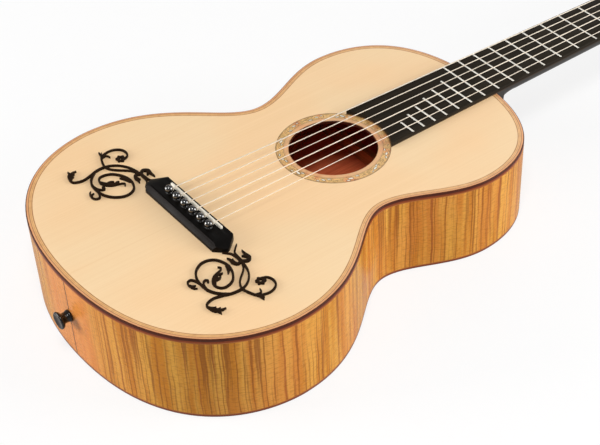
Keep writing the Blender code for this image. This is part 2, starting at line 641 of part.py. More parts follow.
def heel_depth(y):
    """Depth of the heel in the top's frame, down to the heel cap."""
    return (DEPTH - CAP_THICK - GAP) / math.cos(TAPER) - y * math.tan(TAPER)


def make_head():
    """Headstock with its peg holes, and the nut with its string slots."""
    half = smooth_line([(x * MM, y * MM) for x, y in HEAD_HALF], 2)
    head = slab("headstock", [mirrored_loop(half)], -HEAD_THICK, 0, HEAD)
    centres = [(side * PEG_X, y) for side in (-1, 1) for y in PEG_ROWS]
    cut(head, rods("peg_holes", centres, PEG_RADIUS + 1.2 * GAP, -2 * HEAD_THICK, HEAD_THICK, HEAD, sides=12))
    finish(head, "black_wood")
    low, high = (-BOARD_HALF_NUT, SCALE, GAP), (BOARD_HALF_NUT, SCALE + NUT_THICK - GAP, STRING_AT_NUT)
    nut = boxes("nut", [(low, high)], TOP)
    bm = bmesh.new()
    for number, wide in enumerate(STRING_WIDE, 1):
        place = Matrix.Translation((string_x(number, STRINGS_HALF_NUT), SCALE + NUT_THICK / 2, STRING_AT_NUT))
        radius = wide / 2 + GAP
        bmesh.ops.create_cone(bm, cap_ends=True, segments=8, radius1=radius, radius2=radius, depth=3 * NUT_THICK,
                              matrix=place @ Matrix.Rotation(math.pi / 2, 4, "X"))
    cut(nut, add("nut_slots", mesh_of("nut_slots", bm), TOP))
    finish(nut, "bone")


def make_bridge():
    """Bridge with tapered ends, the saddle in its slot, and the six pin holes with their string slots."""
    half = [(BRIDGE_TIP_X + x * MM, BRIDGE_TIP_Y + y * MM) for x, y in BRIDGE_END[::-1]]
    high = GAP + BRIDGE_TALL
    bridge = slab("bridge", [mirrored_loop(half)], GAP, high, TOP)
    cut(bridge, wedge("bridge_rear_slope", (BRIDGE_REAR_FLAT, high), (BRIDGE_REAR, GAP + BRIDGE_REAR_TALL)))
    for side in (-1, 1):
        slope = wedge(f"bridge_end_slope{side}", (-BRIDGE_END_FLAT, high), (-BRIDGE_TIP_X, GAP + BRIDGE_END_TALL))
        slope.matrix_basis = Matrix.Rotation(-side * math.pi / 2, 4, "Z")
        cut(bridge, slope)
    slot = SADDLE_THICK / 2 + GAP
    cut(bridge, boxes("saddle_slot", [((-SADDLE_HALF - GAP, -slot, high - SLOT_DEEP),
                                       (SADDLE_HALF + GAP, slot, high + SADDLE_TOP))], TOP))
    cut(bridge, pin_holes("bridge_pin_holes", PIN_RADIUS + GAP, -BRIDGE_TALL, 3 * BRIDGE_TALL))
    front = PIN_Y + STRING_IN_HOLE_Y + max(STRING_WIDE) / 2 + GAP
    reach = max(STRING_WIDE) / 2 + GAP
    xs = [string_x(n, STRINGS_HALF_SADDLE) for n in range(1, 7)]
    cut(bridge, boxes("bridge_string_slots", [((x - reach, PIN_Y, -BRIDGE_TALL), (x + reach, front, 3 * BRIDGE_TALL))
                                              for x in xs], TOP))
    finish(bridge, "black_wood")
    saddle = boxes("saddle", [((-SADDLE_HALF, -SADDLE_THICK / 2, high - SLOT_DEEP + GAP),
                               (SADDLE_HALF, SADDLE_THICK / 2, SADDLE_TOP))], TOP)
    rounding = saddle.modifiers.new("rounding", "BEVEL")
    rounding.width = 0.6 * MM
    rounding.segments = 2
    rounding.limit_method = "ANGLE"
    finish(saddle, "bone")


def wedge(name, crest, foot):
    """A cutter along X that takes off all that lies above the line from crest to foot, each a (y, z)."""
    run, fall = crest[0] - foot[0], crest[1] - foot[1]
    beyond = 0.5
    high = crest[1] + 20 * MM
    a = (crest[0] + 0.02 * run, crest[1] + 0.02 * fall)
    b = (foot[0] - beyond * run, foot[1] - beyond * fall)
    profile = [a, b, (b[0], high), (a[0], high)]
    piece = slab(name, [[(z, y) for y, z in profile]], -200 * MM, 200 * MM, TOP)
    for vertex in piece.data.vertices:
        z, y, x = vertex.co
        vertex.co = (x, y, z)
    bm = bmesh.new()
    bm.from_mesh(piece.data)
    bmesh.ops.recalc_face_normals(bm, faces=bm.faces)
    bm.to_mesh(piece.data)
    bm.free()
    return piece


def ribbon(line, widths):
    """The outline of a band that follows the points, its width passing from the first to the second to the third."""
    left, right = [], []
    for i, (x, y) in enumerate(line):
        before, after = line[max(i - 1, 0)], line[min(i + 1, len(line) - 1)]
        along = Vector((after[0] - before[0], after[1] - before[1])).normalized()
        share = 2 * i / (len(line) - 1)
        first = min(int(share), 1)
        half = (widths[first] + (widths[first + 1] - widths[first]) * (share - first)) / 2
        left.append((x - along.y * half, y + along.x * half))
        right.append((x + along.y * half, y - along.x * half))
    return left + right[::-1]


def make_scroll(name, side):
    """One scroll ornament: all strokes and the flower ring joined, mirrored for the bass side."""
    set_off = side > 0
    tip_x, tip_y = BRIDGE_TIP_X + TREBLE_SCROLL_OUT * set_off, BRIDGE_TIP_Y + TREBLE_SCROLL_UP * set_off
    outlines = {}
    for stroke, (widths, points) in SCROLL.items():
        line = [(side * (tip_x + x * MM), tip_y + y * MM) for x, y in points]
        outlines[stroke] = [ribbon(line, [w * MM for w in widths])]
    x, y = side * (tip_x + FLOWER_X), tip_y + FLOWER_Y
    outlines["flower"] = [circle(FLOWER_RADIUS, y, x, 16), circle(FLOWER_EYE, y, x, 8)]
    pieces = [slab(f"{name}_{part}", loops, GAP, GAP + SCROLL_THICK, TOP) for part, loops in outlines.items()]
    scroll = pieces[0]
    scroll.name = name
    for piece in pieces[1:]:
        join(scroll, piece)
    finish(simplified(as_mesh(scroll)), "black_wood")


def make_pin(number):
    """A bridge pin: ball head, collar, and a tapered shank with a groove for the string."""
    name = f"bridge_pin_{number}"
    ball = [(PIN_BALL_RADIUS * math.cos(math.radians(a)), PIN_BALL_MID + PIN_BALL_RADIUS * math.sin(math.radians(a)))
            for a in (90, 60, 28, -4, -36)]
    collar = PIN_COLLAR_TALL + GAP
    profile = [(0, ball[0][1])] + ball[1:] + [
        (PIN_NECK_RADIUS, collar + 0.2 * MM), (PIN_COLLAR_RADIUS, collar), (PIN_COLLAR_RADIUS, GAP),
        (PIN_RADIUS, GAP - 0.05 * MM), (PIN_TIP_RADIUS, -PIN_LONG), (0, -PIN_LONG - 0.6 * MM)]
    pin = turned(name, profile, PIN_SIDES, TOP)
    groove = boxes(f"{name}_groove", [((-GROOVE_HALF, GROOVE_FLOOR, -2 * PIN_LONG),
                                       (GROOVE_HALF, 3 * PIN_RADIUS, collar + 0.3 * MM))], TOP)
    groove.location = pin.location = (string_x(number, STRINGS_HALF_SADDLE), PIN_Y, GAP + BRIDGE_TALL)
    cut(pin, groove)
    smooth(finish(pin, "black_wood"))


def make_end_pin():
    out, shank = END_PIN_OUT, END_PIN_SHANK
    profile = [(0, out - 1.0 * MM), (0.62 * END_PIN_HEAD, out - 0.6 * MM), (0.9 * END_PIN_HEAD, out),
               (END_PIN_HEAD, out - 1.1 * MM), (0.9 * END_PIN_HEAD, out - 2.9 * MM), (END_PIN_NECK, out - 4.8 * MM),
               (END_PIN_NECK, 3.6 * MM), (END_PIN_COLLAR, 1.9 * MM), (END_PIN_COLLAR, GAP),
               (shank, GAP - 0.05 * MM), (0.85 * shank, -END_PIN_IN), (0, -END_PIN_IN)]
    pin = turned("end_pin", profile, 20)
    pin.location = (0, TAIL_Y, END_PIN_Z)
    pin.rotation_euler.x = math.pi / 2
    smooth(finish(pin, "black_wood"))


def peg_place(number):
    """Place of the peg of string 1 to 6 in the headstock's frame: treble strings on the treble side."""
    side = 1 if number <= 3 else -1
    row = number - 1 if number <= 3 else 6 - number
    return side * PEG_X, PEG_ROWS[row], side


def make_peg(number):
    """A friction peg: string post, shaft, collar, stem and an oval thumb piece behind the headstock."""
    name = f"peg_{number}"
    collar = -HEAD_THICK - GAP
    stem = collar - 2.4 * MM
    profile = [(0, PEG_POST_TALL), (0.75 * PEG_POST_RADIUS, PEG_POST_TALL), (PEG_POST_RADIUS, 0.93 * PEG_POST_TALL),
               (PEG_POST_RADIUS, 0.6 * MM), (PEG_RADIUS, 0), (PEG_RADIUS, collar + 0.05 * MM),
               (PEG_COLLAR_RADIUS, collar), (PEG_COLLAR_RADIUS, collar - 1.4 * MM), (PEG_STEM_RADIUS, stem),
               (PEG_STEM_RADIUS, stem - PEG_STEM_LONG), (0, stem - PEG_STEM_LONG)]
    peg = turned(name, profile, PEG_SIDES, HEAD)
    bm = bmesh.new()
    shape = Matrix.Diagonal((THUMB_HALF_WIDE, THUMB_HALF_THICK, THUMB_HALF_TALL, 1))
    bmesh.ops.create_uvsphere(bm, u_segments=PEG_SIDES, v_segments=6, radius=1, matrix=shape)
    thumb = add(f"{name}_thumb", mesh_of(f"{name}_thumb", bm), HEAD)
    x, y, _ = peg_place(number)
    turn = math.radians(PEG_TURNS_DEG[number - 1])
    peg.location = (x, y, 0)
    thumb.location = (x, y, stem - PEG_STEM_LONG / 2 - THUMB_HALF_TALL)
    peg.rotation_euler.z = thumb.rotation_euler.z = turn
    join(peg, thumb)
    smooth(finish(peg, "black_wood"))


def turn_radius(wide):
    """Radius of a string's turns on its peg, to the string's middle."""
    return PEG_POST_RADIUS + GAP + 0.1 * MM + wide / 2


def make_string(number):
    """One string from the bridge pin over saddle and nut to its peg, and its turns round the peg.

    The turns ride on the peg, so they are a piece of their own. They begin with a short straight lead towards the
    string, long enough that the string's end stays clear of the turns when the peg is turned.
    """
    wide = STRING_WIDE[number - 1]
    radius = turn_radius(wide)
    to_head = HEAD.matrix_local.inverted()
    over_nut = Vector((string_x(number, STRINGS_HALF_NUT), SCALE + NUT_THICK, STRING_AT_NUT))
    start = to_head @ over_nut
    x, y, side = peg_place(number)
    away = Vector((start.x - x, start.y - y))
    open_angle = math.acos(radius / away.length)
    turn = math.atan2(away.y, away.x) + (open_angle if side < 0 else -open_angle)
    spacing = wide + TURN_SPACE
    meet = Vector((x + radius * math.cos(turn), y + radius * math.sin(turn), FIRST_TURN))
    back = Vector((start.x - meet.x, start.y - meet.y, 0)).normalized()
    lead = 2 * math.sqrt(radius * wide / 2)
    saddle_x = string_x(number, STRINGS_HALF_SADDLE)
    hole_y, high = PIN_Y + STRING_IN_HOLE_Y, GAP + BRIDGE_TALL
    ends = [HEAD.matrix_local @ (meet + back * step) for step in (12 * MM, lead + GAP)]
    route = [(saddle_x, hole_y, STRING_END_Z), (saddle_x, hole_y, high - 1.2 * MM),
             (saddle_x, hole_y + 0.25 * MM, high + 0.1 * MM),
             (saddle_x, -SADDLE_THICK / 2, SADDLE_TOP + GAP + wide / 2 - 0.25 * MM),
             (saddle_x, 0, SADDLE_TOP + GAP + wide / 2),
             (string_x(number, STRINGS_HALF_NUT), SCALE, STRING_AT_NUT), tuple(over_nut)] + [tuple(e) for e in ends]
    finish(tube(f"string_{number}", route, wide, TOP, 1), "nylon")

    coil = [meet + back * lead, meet + back * (lead / 2)]
    for i in range(TURNS * TURN_POINTS + 1):
        angle = turn + (1 if side < 0 else -1) * 2 * math.pi * i / TURN_POINTS
        coil.append(Vector((x + radius * math.cos(angle), y + radius * math.sin(angle),
                            FIRST_TURN + spacing * i / TURN_POINTS)))
    least = min((coil[i] - coil[j]).length - wide for i in range(2, len(coil))
                for j in range(i + TURN_POINTS // 2, len(coil)))
    print(f"string_winding_{number}: least gap to itself {least / MM:.2f} mm")
    winding = tube(f"string_winding_{number}", [p - Vector((x, y, 0)) for p in coil], wide, HEAD, 1)
    winding.location = (x, y, 0)
    finish(winding, "nylon")


clear_scene()
PARTS = collection("romantic_guitar")
HELPERS = collection("cutters")
make_finishes()
BOARD_TOP = GAP + BOARD_THICK
TOP = frame_empty("top_frame", (0, 0, DEPTH), TAPER)
HEAD = frame_empty("head_frame", (0, SCALE + NUT_THICK + GAP, 0), HEAD_TILT, TOP)
bpy.context.view_layer.update()
make_shell()
make_blocks()
make_linings()
make_braces()
make_fingerboard()
make_neck()
make_head()
make_bridge()
make_scroll("bridge_scroll_bass", -1)
make_scroll("bridge_scroll_treble", 1)
make_end_pin()
for string_number in range(1, 7):
    make_pin(string_number)
    make_peg(string_number)
    make_string(string_number)
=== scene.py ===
"""The looks of the romantic guitar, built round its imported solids.

Every size is in metres. World frame: the origin is on the underside of the back straight below the saddle, +X
points to the treble side, +Y to the headstock, +Z up. What belongs to the top is drawn in the top's frame,
which leans by the taper of the body. What belongs to the headstock is drawn in its frame, which tilts back.
"""

import logging
import math
from collections.abc import Callable, Iterable, Sequence
from dataclasses import dataclass
from enum import Enum

import bmesh
import bpy
from mathutils import Matrix, Vector
from mathutils.geometry import tessellate_polygon


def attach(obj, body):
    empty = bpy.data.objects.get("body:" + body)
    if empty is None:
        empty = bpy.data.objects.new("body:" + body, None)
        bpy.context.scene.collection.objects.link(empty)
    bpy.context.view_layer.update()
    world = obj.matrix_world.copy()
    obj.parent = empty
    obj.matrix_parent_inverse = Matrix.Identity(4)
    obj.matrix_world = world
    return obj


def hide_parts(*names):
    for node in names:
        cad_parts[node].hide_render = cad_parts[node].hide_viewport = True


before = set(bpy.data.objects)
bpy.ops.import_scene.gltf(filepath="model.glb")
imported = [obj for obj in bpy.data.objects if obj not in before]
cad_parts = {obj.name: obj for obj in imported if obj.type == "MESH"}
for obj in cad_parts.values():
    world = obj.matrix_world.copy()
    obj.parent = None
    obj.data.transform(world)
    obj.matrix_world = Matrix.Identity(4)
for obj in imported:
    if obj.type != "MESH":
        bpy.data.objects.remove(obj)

MM = 0.001
SLIVER = 1e-4 * MM * MM  # a face below this area that hangs by one edge is a stray one
GAP = 0.3 * MM
GUITAR = "guitar"

DEPTH = 85.1 * MM
TAPER = math.radians(1.232)
SCALE = 630.0 * MM
NUT_THICK = 5.0 * MM
HEAD_TILT = math.radians(10)
WORLD = Matrix.Identity(4)
LYING = Matrix.Rotation(math.pi / 2, 4, "X")
TOP = Matrix.Translation((0, 0, DEPTH)) @ Matrix.Rotation(-TAPER, 4, "X")
HEAD = TOP @ Matrix.Translation((0, SCALE + NUT_THICK + GAP, 0)) @ Matrix.Rotation(-HEAD_TILT, 4, "X")

BINDING_WIDE, TOP_BINDING_TALL, BACK_BINDING_TALL = 2.4 * MM, 5.0 * MM, 3.0 * MM
PURFLING_WIDE = 3.6 * MM
TOP_THICK, INLAY_DEEP = 2.6 * MM, 1.2 * MM
HOLE_Y, HOLE_RADIUS, ROSETTE_RADIUS = 143.9 * MM, 39.3 * MM, 50.8 * MM
PIN_Y, PIN_RADIUS = -7.5 * MM, 2.35 * MM
STRING_WIDE = (0.7 * MM, 0.8 * MM, 1.0 * MM, 0.75 * MM, 0.9 * MM, 1.1 * MM)
STRINGS_HALF_SADDLE, STRINGS_HALF_NUT = 29.0 * MM, 19.8 * MM
BRIDGE_TIP_X, BRIDGE_TIP_Y = 57.0 * MM, -8.5 * MM
END_PIN_Z, END_PIN_SHANK = 46.2 * MM, 4.0 * MM

BMesh = bmesh.types.BMesh
Node = bpy.types.Node
Socket = bpy.types.NodeSocket
Outputs = bpy.types.NodeOutputs
Pair = tuple[float, float]
Colour = tuple[float, float, float, float]
Value = float | int | Sequence[float] | Socket
Takes = tuple[tuple[str, float | int], ...]
WHITE: Colour = (1.0, 1.0, 1.0, 1.0)

log = logging.getLogger("romantic_guitar")


class Side(Enum):
    """The two sides of the guitar, with the sign of X there."""

    TREBLE = 1
    BASS = -1


class Axis(Enum):
    """The way that the grain of a piece runs."""

    X = "x"
    Y = "y"
    Z = "z"
    UV = "uv"
    BOOKMATCHED = "bookmatched"


class Joining(Enum):
    """What a second solid does to the first."""

    CUT = "DIFFERENCE"
    ADD = "UNION"


def tone(red: int, green: int, blue: int) -> Colour:
    """A colour as it is seen on a screen, given in steps of 0 to 255, as the linear colour that shaders take.

    Args:
        red: its red.
        green: its green.
        blue: its blue.

    Returns:
        The linear colour, opaque.
    """
    parts = [value / 255 for value in (red, green, blue)]
    linear = [part / 12.92 if part <= 0.04045 else ((part + 0.055) / 1.055) ** 2.4 for part in parts]
    return (*linear, 1.0)


@dataclass(frozen=True)
class Graph:
    """A node tree that is being wired."""

    tree: bpy.types.NodeTree

    def feed(self, node: Node, key: str | int, value: Value) -> None:
        """Gives one input of a node a value, or links an output to it.

        Args:
            node: the node.
            key: the input's name or number.
            value: the value or the output.
        """
        if isinstance(value, Socket):
            self.tree.links.new(value, node.inputs[key])
        else:
            node.inputs[key].default_value = value

    def node(self, kind: str, inputs: dict[str | int, Value] | None = None,
             **settings: object) -> Node:
        """Adds a node.

        Args:
            kind: the node's type name.
            inputs: what goes into its inputs, by name or number.
            settings: the node's own options, which are set first.

        Returns:
            The node.
        """
        made = self.tree.nodes.new(kind)
        for name, value in settings.items():
            setattr(made, name, value)
        for key, value in (inputs or {}).items():
            self.feed(made, key, value)
        return made

    def math(self, operation: str, first: Value, second: Value = 0.0, third: Value = 0.0) -> Socket:
        """What a Math node's operation makes of up to three numbers."""
        return self.node("ShaderNodeMath", {0: first, 1: second, 2: third}, operation=operation).outputs[0]

    def times(self, first: Value, second: Value) -> Socket:
        """The product of two numbers."""
        return self.math("MULTIPLY", first, second)

    def combine(self, x: Value = 0.0, y: Value = 0.0, z: Value = 0.0) -> Socket:
        """The vector of three numbers."""
        return self.node("ShaderNodeCombineXYZ", {0: x, 1: y, 2: z}).outputs[0]

    def parts(self, vector: Socket) -> Outputs:
        """The three numbers of a vector."""
        return self.node("ShaderNodeSeparateXYZ", {0: vector}).outputs

    def spread(self, value: Value, low: float, high: float, out_low: Value = 0.0,
               out_high: Value = 1.0) -> Socket:
        """Carries a value from the stretch low to high smoothly to another stretch, and stops at its ends."""
        stretch = {0: value, 1: low, 2: high, 3: out_low, 4: out_high}
        return self.node("ShaderNodeMapRange", stretch, interpolation_type="SMOOTHSTEP").outputs[0]

    def mix(self, share: Value, first: Value, second: Value, blend: str = "MIX") -> Socket:
        """Two colours mixed, with this share of the second."""
        colours = {0: share, 6: first, 7: second}
        return self.node("ShaderNodeMix", colours, data_type="RGBA", blend_type=blend).outputs[2]

    def tint(self, colour: Value, towards: Value, where: Socket, share: float) -> Socket:
        """The colour turned towards another one, by this share where a map is 1."""
        return self.mix(self.times(where, share), colour, towards)

    def noise(self, vector: Socket, scale: float, detail: float = 2.0, roughness: float = 0.5,
              turn: float = 0.0) -> Socket:
        """A noise between 0 and 1 with this many bumps to a unit. Each turn picks another pattern."""
        inputs = {"Vector": vector, "W": turn, "Scale": scale, "Detail": detail, "Roughness": roughness}
        return self.node("ShaderNodeTexNoise", inputs, noise_dimensions="4D").outputs[0]

    def group(self, tree: bpy.types.NodeTree, inputs: dict[str | int, Value]) -> Outputs:
        """The outputs of a shared effect, given its inputs by name."""
        return self.node("ShaderNodeGroup", inputs, node_tree=tree).outputs


@dataclass(frozen=True)
class Effect:
    """A shader node group that several finishes share. It is built the first time that it is asked for."""

    name: str
    takes: Takes
    gives: tuple[str, ...]

    def tree(self) -> bpy.types.NodeTree:
        """The group, wired once.

        Returns:
            The node tree.
        """
        found = bpy.data.node_groups.get(self.name)
        if found:
            return found
        made = bpy.data.node_groups.new(self.name, "ShaderNodeTree")
        made.interface.new_socket("Place", in_out="INPUT", socket_type="NodeSocketVector")
        for name, value in self.takes:
            socket = made.interface.new_socket(name, in_out="INPUT", socket_type="NodeSocketFloat")
            socket.default_value = value
        for name in self.gives:
            made.interface.new_socket(name, in_out="OUTPUT", socket_type="NodeSocketFloat")
        graph = Graph(made)
        given = made.nodes.new("NodeGroupInput").outputs
        end = made.nodes.new("NodeGroupOutput")
        for name, value in self.wire(graph, given).items():
            made.links.new(value, end.inputs[name])
        return made

    def wire(self, graph: Graph, given: Outputs) -> dict[str, Socket]:
        """Wires the effect from the group's inputs, and gives its outputs by name."""
        raise NotImplementedError


@dataclass(frozen=True)
class GrainEffect(Effect):
    """Fine lines and broader bands along the grain. Place is (along, across, through), in metres."""

    name: str = "wood grain"
    takes: Takes = (("Spacing", 0.001), ("Length", 0.08))
    gives: tuple[str, ...] = ("Lines", "Bands", "Pores")

    def wire(self, graph: Graph, given: Outputs) -> dict[str, Socket]:
        """Wires lines, bands and pores from noises that are stretched along the grain."""
        along, across, through = graph.parts(given["Place"])
        run = graph.math("DIVIDE", along, given["Length"])
        lane = graph.math("DIVIDE", across, given["Spacing"])
        layer = graph.math("DIVIDE", through, given["Spacing"])
        broad = graph.combine(run, graph.times(lane, 0.12), graph.times(layer, 0.12))
        short = graph.combine(graph.times(run, 14.0), graph.times(lane, 1.8), graph.times(layer, 1.8))
        fine = graph.noise(graph.combine(run, lane, layer), 1.0, 3.0, 0.6)
        wide = graph.noise(broad, 1.0, 2.0, 0.5, 3.0)
        specks = graph.noise(short, 1.0, 1.0, 0.5, 7.0)
        return {"Lines": graph.spread(fine, 0.38, 0.64), "Bands": graph.spread(wide, 0.35, 0.66),
                "Pores": graph.spread(specks, 0.6, 0.74)}


@dataclass(frozen=True)
class FigureEffect(Effect):
    """Flames across the grain, as in curly wood. Place is (along, across, through), in metres."""

    name: str = "flame figure"
    takes: Takes = (
        ("Fine", 2.1 * MM), ("Medium", 11.0 * MM), ("Broad", 75.0 * MM), ("Wander", 4.0 * MM))
    gives: tuple[str, ...] = ("Fine flames", "Flames", "Patches", "Streaks", "Weave")

    def wire(self, graph: Graph, given: Outputs) -> dict[str, Socket]:
        """Wires three sizes of flame and dark streaks, bent by one slow noise, and short lines across."""
        along, across, through = graph.parts(given["Place"])
        bend = graph.math("SUBTRACT", graph.noise(given["Place"], 26.0, 2.0, 0.5, 1.0), 0.5)
        bent = graph.math("MULTIPLY_ADD", bend, given["Wander"], along)
        sizes = []
        kinds = (("Fine", 1.0, 0.16, 2.0), ("Medium", 1.0, 0.2, 4.0), ("Broad", 1.0, 0.3, 6.0),
                 ("Medium", 2.6, 0.4, 9.0))
        for name, closer, tall, turn in kinds:
            run = graph.times(graph.math("DIVIDE", bent, given[name]), closer)
            lane, layer = graph.math("DIVIDE", across, tall), graph.math("DIVIDE", through, tall)
            sizes.append(graph.noise(graph.combine(run, lane, layer), 1.0, 2.0, 0.55, turn))
        fine, flames, patches, streaks = sizes
        short = graph.combine(graph.math("DIVIDE", along, 6.0 * MM), graph.math("DIVIDE", across, 1.2 * MM),
                              graph.math("DIVIDE", through, 1.2 * MM))
        weave = graph.noise(short, 1.0, 1.0, 0.5, 15.0)
        return {"Fine flames": graph.spread(fine, 0.5, 0.62), "Flames": graph.spread(flames, 0.4, 0.6),
                "Patches": graph.spread(patches, 0.4, 0.6), "Streaks": graph.spread(streaks, 0.57, 0.64),
                "Weave": graph.spread(weave, 0.48, 0.64)}


@dataclass(frozen=True)
class TouchEffect(Effect):
    """How the gloss of a handled surface varies from place to place."""

    name: str = "handled gloss"
    takes: Takes = (("Low", 0.25), ("High", 0.4))
    gives: tuple[str, ...] = ("Roughness",)

    def wire(self, graph: Graph, given: Outputs) -> dict[str, Socket]:
        """Wires soft patches of gloss."""
        patches = graph.noise(given["Place"], 30.0, 3.0, 0.55, 11.0)
        stretch = {0: patches, 1: 0.3, 2: 0.7, 3: given["Low"], 4: given["High"]}
        return {"Roughness": graph.node("ShaderNodeMapRange", stretch).outputs[0]}


GRAIN, FIGURE, TOUCH = GrainEffect(), FigureEffect(), TouchEffect()


def place_of(graph: Graph, axis: Axis) -> Socket:
    """The place on a piece as (along, across, through) its grain, in metres.

    Args:
        graph: the material's tree.
        axis: the way that the grain runs.

    Returns:
        The place.
    """
    if axis is Axis.UV:
        return graph.node("ShaderNodeUVMap", uv_map="grain").outputs[0]
    x, y, z = graph.parts(graph.node("ShaderNodeTexCoord").outputs["Object"])
    if axis is Axis.X:
        return graph.combine(x, y, z)
    if axis is Axis.Z:
        return graph.combine(z, x, y)
    if axis is Axis.BOOKMATCHED:
        return graph.combine(y, graph.math("ABSOLUTE", x), 0.0)
    return graph.combine(y, x, z)


@dataclass(frozen=True)
class Finish:
    """A surface finish: what a material is called, and how it is wired."""

    name: str

    def material(self) -> bpy.types.Material:
        """The material, wired the first time that it is asked for.

        The solids' own materials are named after the slots, so no finish has a slot's name.

        Returns:
            The material.
        """
        found = bpy.data.materials.get(self.name)
        if found:
            return found
        made = bpy.data.materials.new(self.name)
        made.use_nodes = True
        graph = Graph(made.node_tree)
        self.wire(graph, made.node_tree.nodes["Principled BSDF"])
        return made

    def wire(self, graph: Graph, shader: Node) -> None:
        """Wires the material to its Principled shader."""
        raise NotImplementedError

    def grain(self, graph: Graph, place: Socket, spacing: float, length: float) -> Outputs:
        """Lines, bands and pores of this spacing and length along the grain."""
        return graph.group(GRAIN.tree(), {"Place": place, "Spacing": spacing, "Length": length})

    def handled(self, graph: Graph, place: Socket, low: float, high: float) -> Socket:
        """The roughness of a handled surface, in soft patches from low to high."""
        return graph.group(TOUCH.tree(), {"Place": place, "Low": low, "High": high})["Roughness"]

    def surface(self, graph: Graph, shader: Node, colour: Value, roughness: Value, height: Value,
                deep: float) -> None:
        """Links colour, gloss and relief to the shader.

        Args:
            graph: the material's tree.
            shader: its shader.
            colour: the base colour.
            roughness: the roughness.
            height: the relief, 0 to 1.
            deep: how deep the relief is, in metres.
        """
        bump = graph.node("ShaderNodeBump", {"Strength": 1.0, "Distance": deep, "Height": height}).outputs[0]
        for name, value in (("Base Color", colour), ("Roughness", roughness), ("Normal", bump)):
            graph.feed(shader, name, value)

    def lacquer(self, shader: Node, coat: float, roughness: float = 0.03, mirror: float = 0.5,
                ior: float = 1.5) -> None:
        """Sets the clear coat, and how strongly the surface below it mirrors.

        Args:
            shader: the material's shader.
            coat: the coat's weight.
            roughness: the coat's roughness.
            mirror: the specular level of the surface below it.
            ior: how strongly the coat refracts.
        """
        for name, value in (("Coat Weight", coat), ("Coat Roughness", roughness), ("Coat IOR", ior),
                            ("Specular IOR Level", mirror)):
            shader.inputs[name].default_value = value


@dataclass(frozen=True)
class PlainWood(Finish):
    """A wood with straight grain, oiled, stained or lacquered."""

    base: Colour
    line: Colour
    axis: Axis = Axis.Y
    spacing: float = 0.9 * MM
    length: float = 90 * MM
    lines: float = 0.5
    gloss: Pair = (0.35, 0.5)
    mirror: float = 0.5
    coat: float = 0.0
    coat_roughness: float = 0.1
    deep: float = 0.02 * MM
    coat_ior: float = 1.5

    def wire(self, graph: Graph, shader: Node) -> None:
        """Wires grain lines, pores and the gloss of handling."""
        place = place_of(graph, self.axis)
        grain = self.grain(graph, place, self.spacing, self.length)
        colour = graph.mix(graph.times(grain["Lines"], self.lines), self.base, self.line)
        colour = graph.tint(colour, self.line, grain["Bands"], 0.35)
        colour = graph.tint(colour, self.line, grain["Pores"], self.lines)
        gloss = self.handled(graph, place, self.gloss[0], self.gloss[1])
        deepest = graph.math("MAXIMUM", grain["Pores"], graph.times(grain["Lines"], 0.4))
        self.surface(graph, shader, colour, gloss, graph.math("SUBTRACT", 1.0, deepest), self.deep)
        self.lacquer(shader, self.coat, self.coat_roughness, self.mirror, self.coat_ior)


@dataclass(frozen=True)
class SpruceTop(Finish):
    """The pale soundboard: straight fine grain, tighter at the middle, under a thin satin lacquer."""

    name: str = "soundboard spruce"
    light: Colour = tone(245, 214, 170)
    line: Colour = tone(232, 190, 136)
    warm: Colour = tone(247, 209, 162)
    spacing: float = 1.3 * MM
    length: float = 260 * MM

    def wire(self, graph: Graph, shader: Node) -> None:
        """Wires growth lines that mirror about the centre joint, silk across them, and shifts of tone."""
        place = place_of(graph, Axis.BOOKMATCHED)
        along, across, _ = graph.parts(place)
        drawn = graph.combine(along, graph.times(graph.math("POWER", across, 0.85), 0.62), 0.0)
        grain = self.grain(graph, drawn, self.spacing, self.length)
        slow = graph.noise(place, 9.0, 2.0, 0.5, 5.0)
        rays = graph.combine(graph.times(along, 300.0), graph.times(across, 40.0))
        silk = graph.noise(rays, 1.0, 2.0, 0.5, 8.0)
        colour = graph.mix(graph.spread(slow, 0.35, 0.65), self.light, self.warm)
        colour = graph.tint(colour, self.line, grain["Lines"], 0.17)
        colour = graph.tint(colour, self.line, grain["Bands"], 0.07)
        colour = graph.mix(graph.spread(silk, 0.5, 0.75, 0.0, 0.08), colour, self.light)
        colour = graph.mix(graph.spread(across, 0.05 * MM, 0.35 * MM, 0.35, 0.0), colour, self.line)
        gloss = self.handled(graph, place, 0.42, 0.5)
        self.surface(graph, shader, colour, gloss, grain["Lines"], 0.006 * MM)
        self.lacquer(shader, 0.06, 0.25, 0.3)


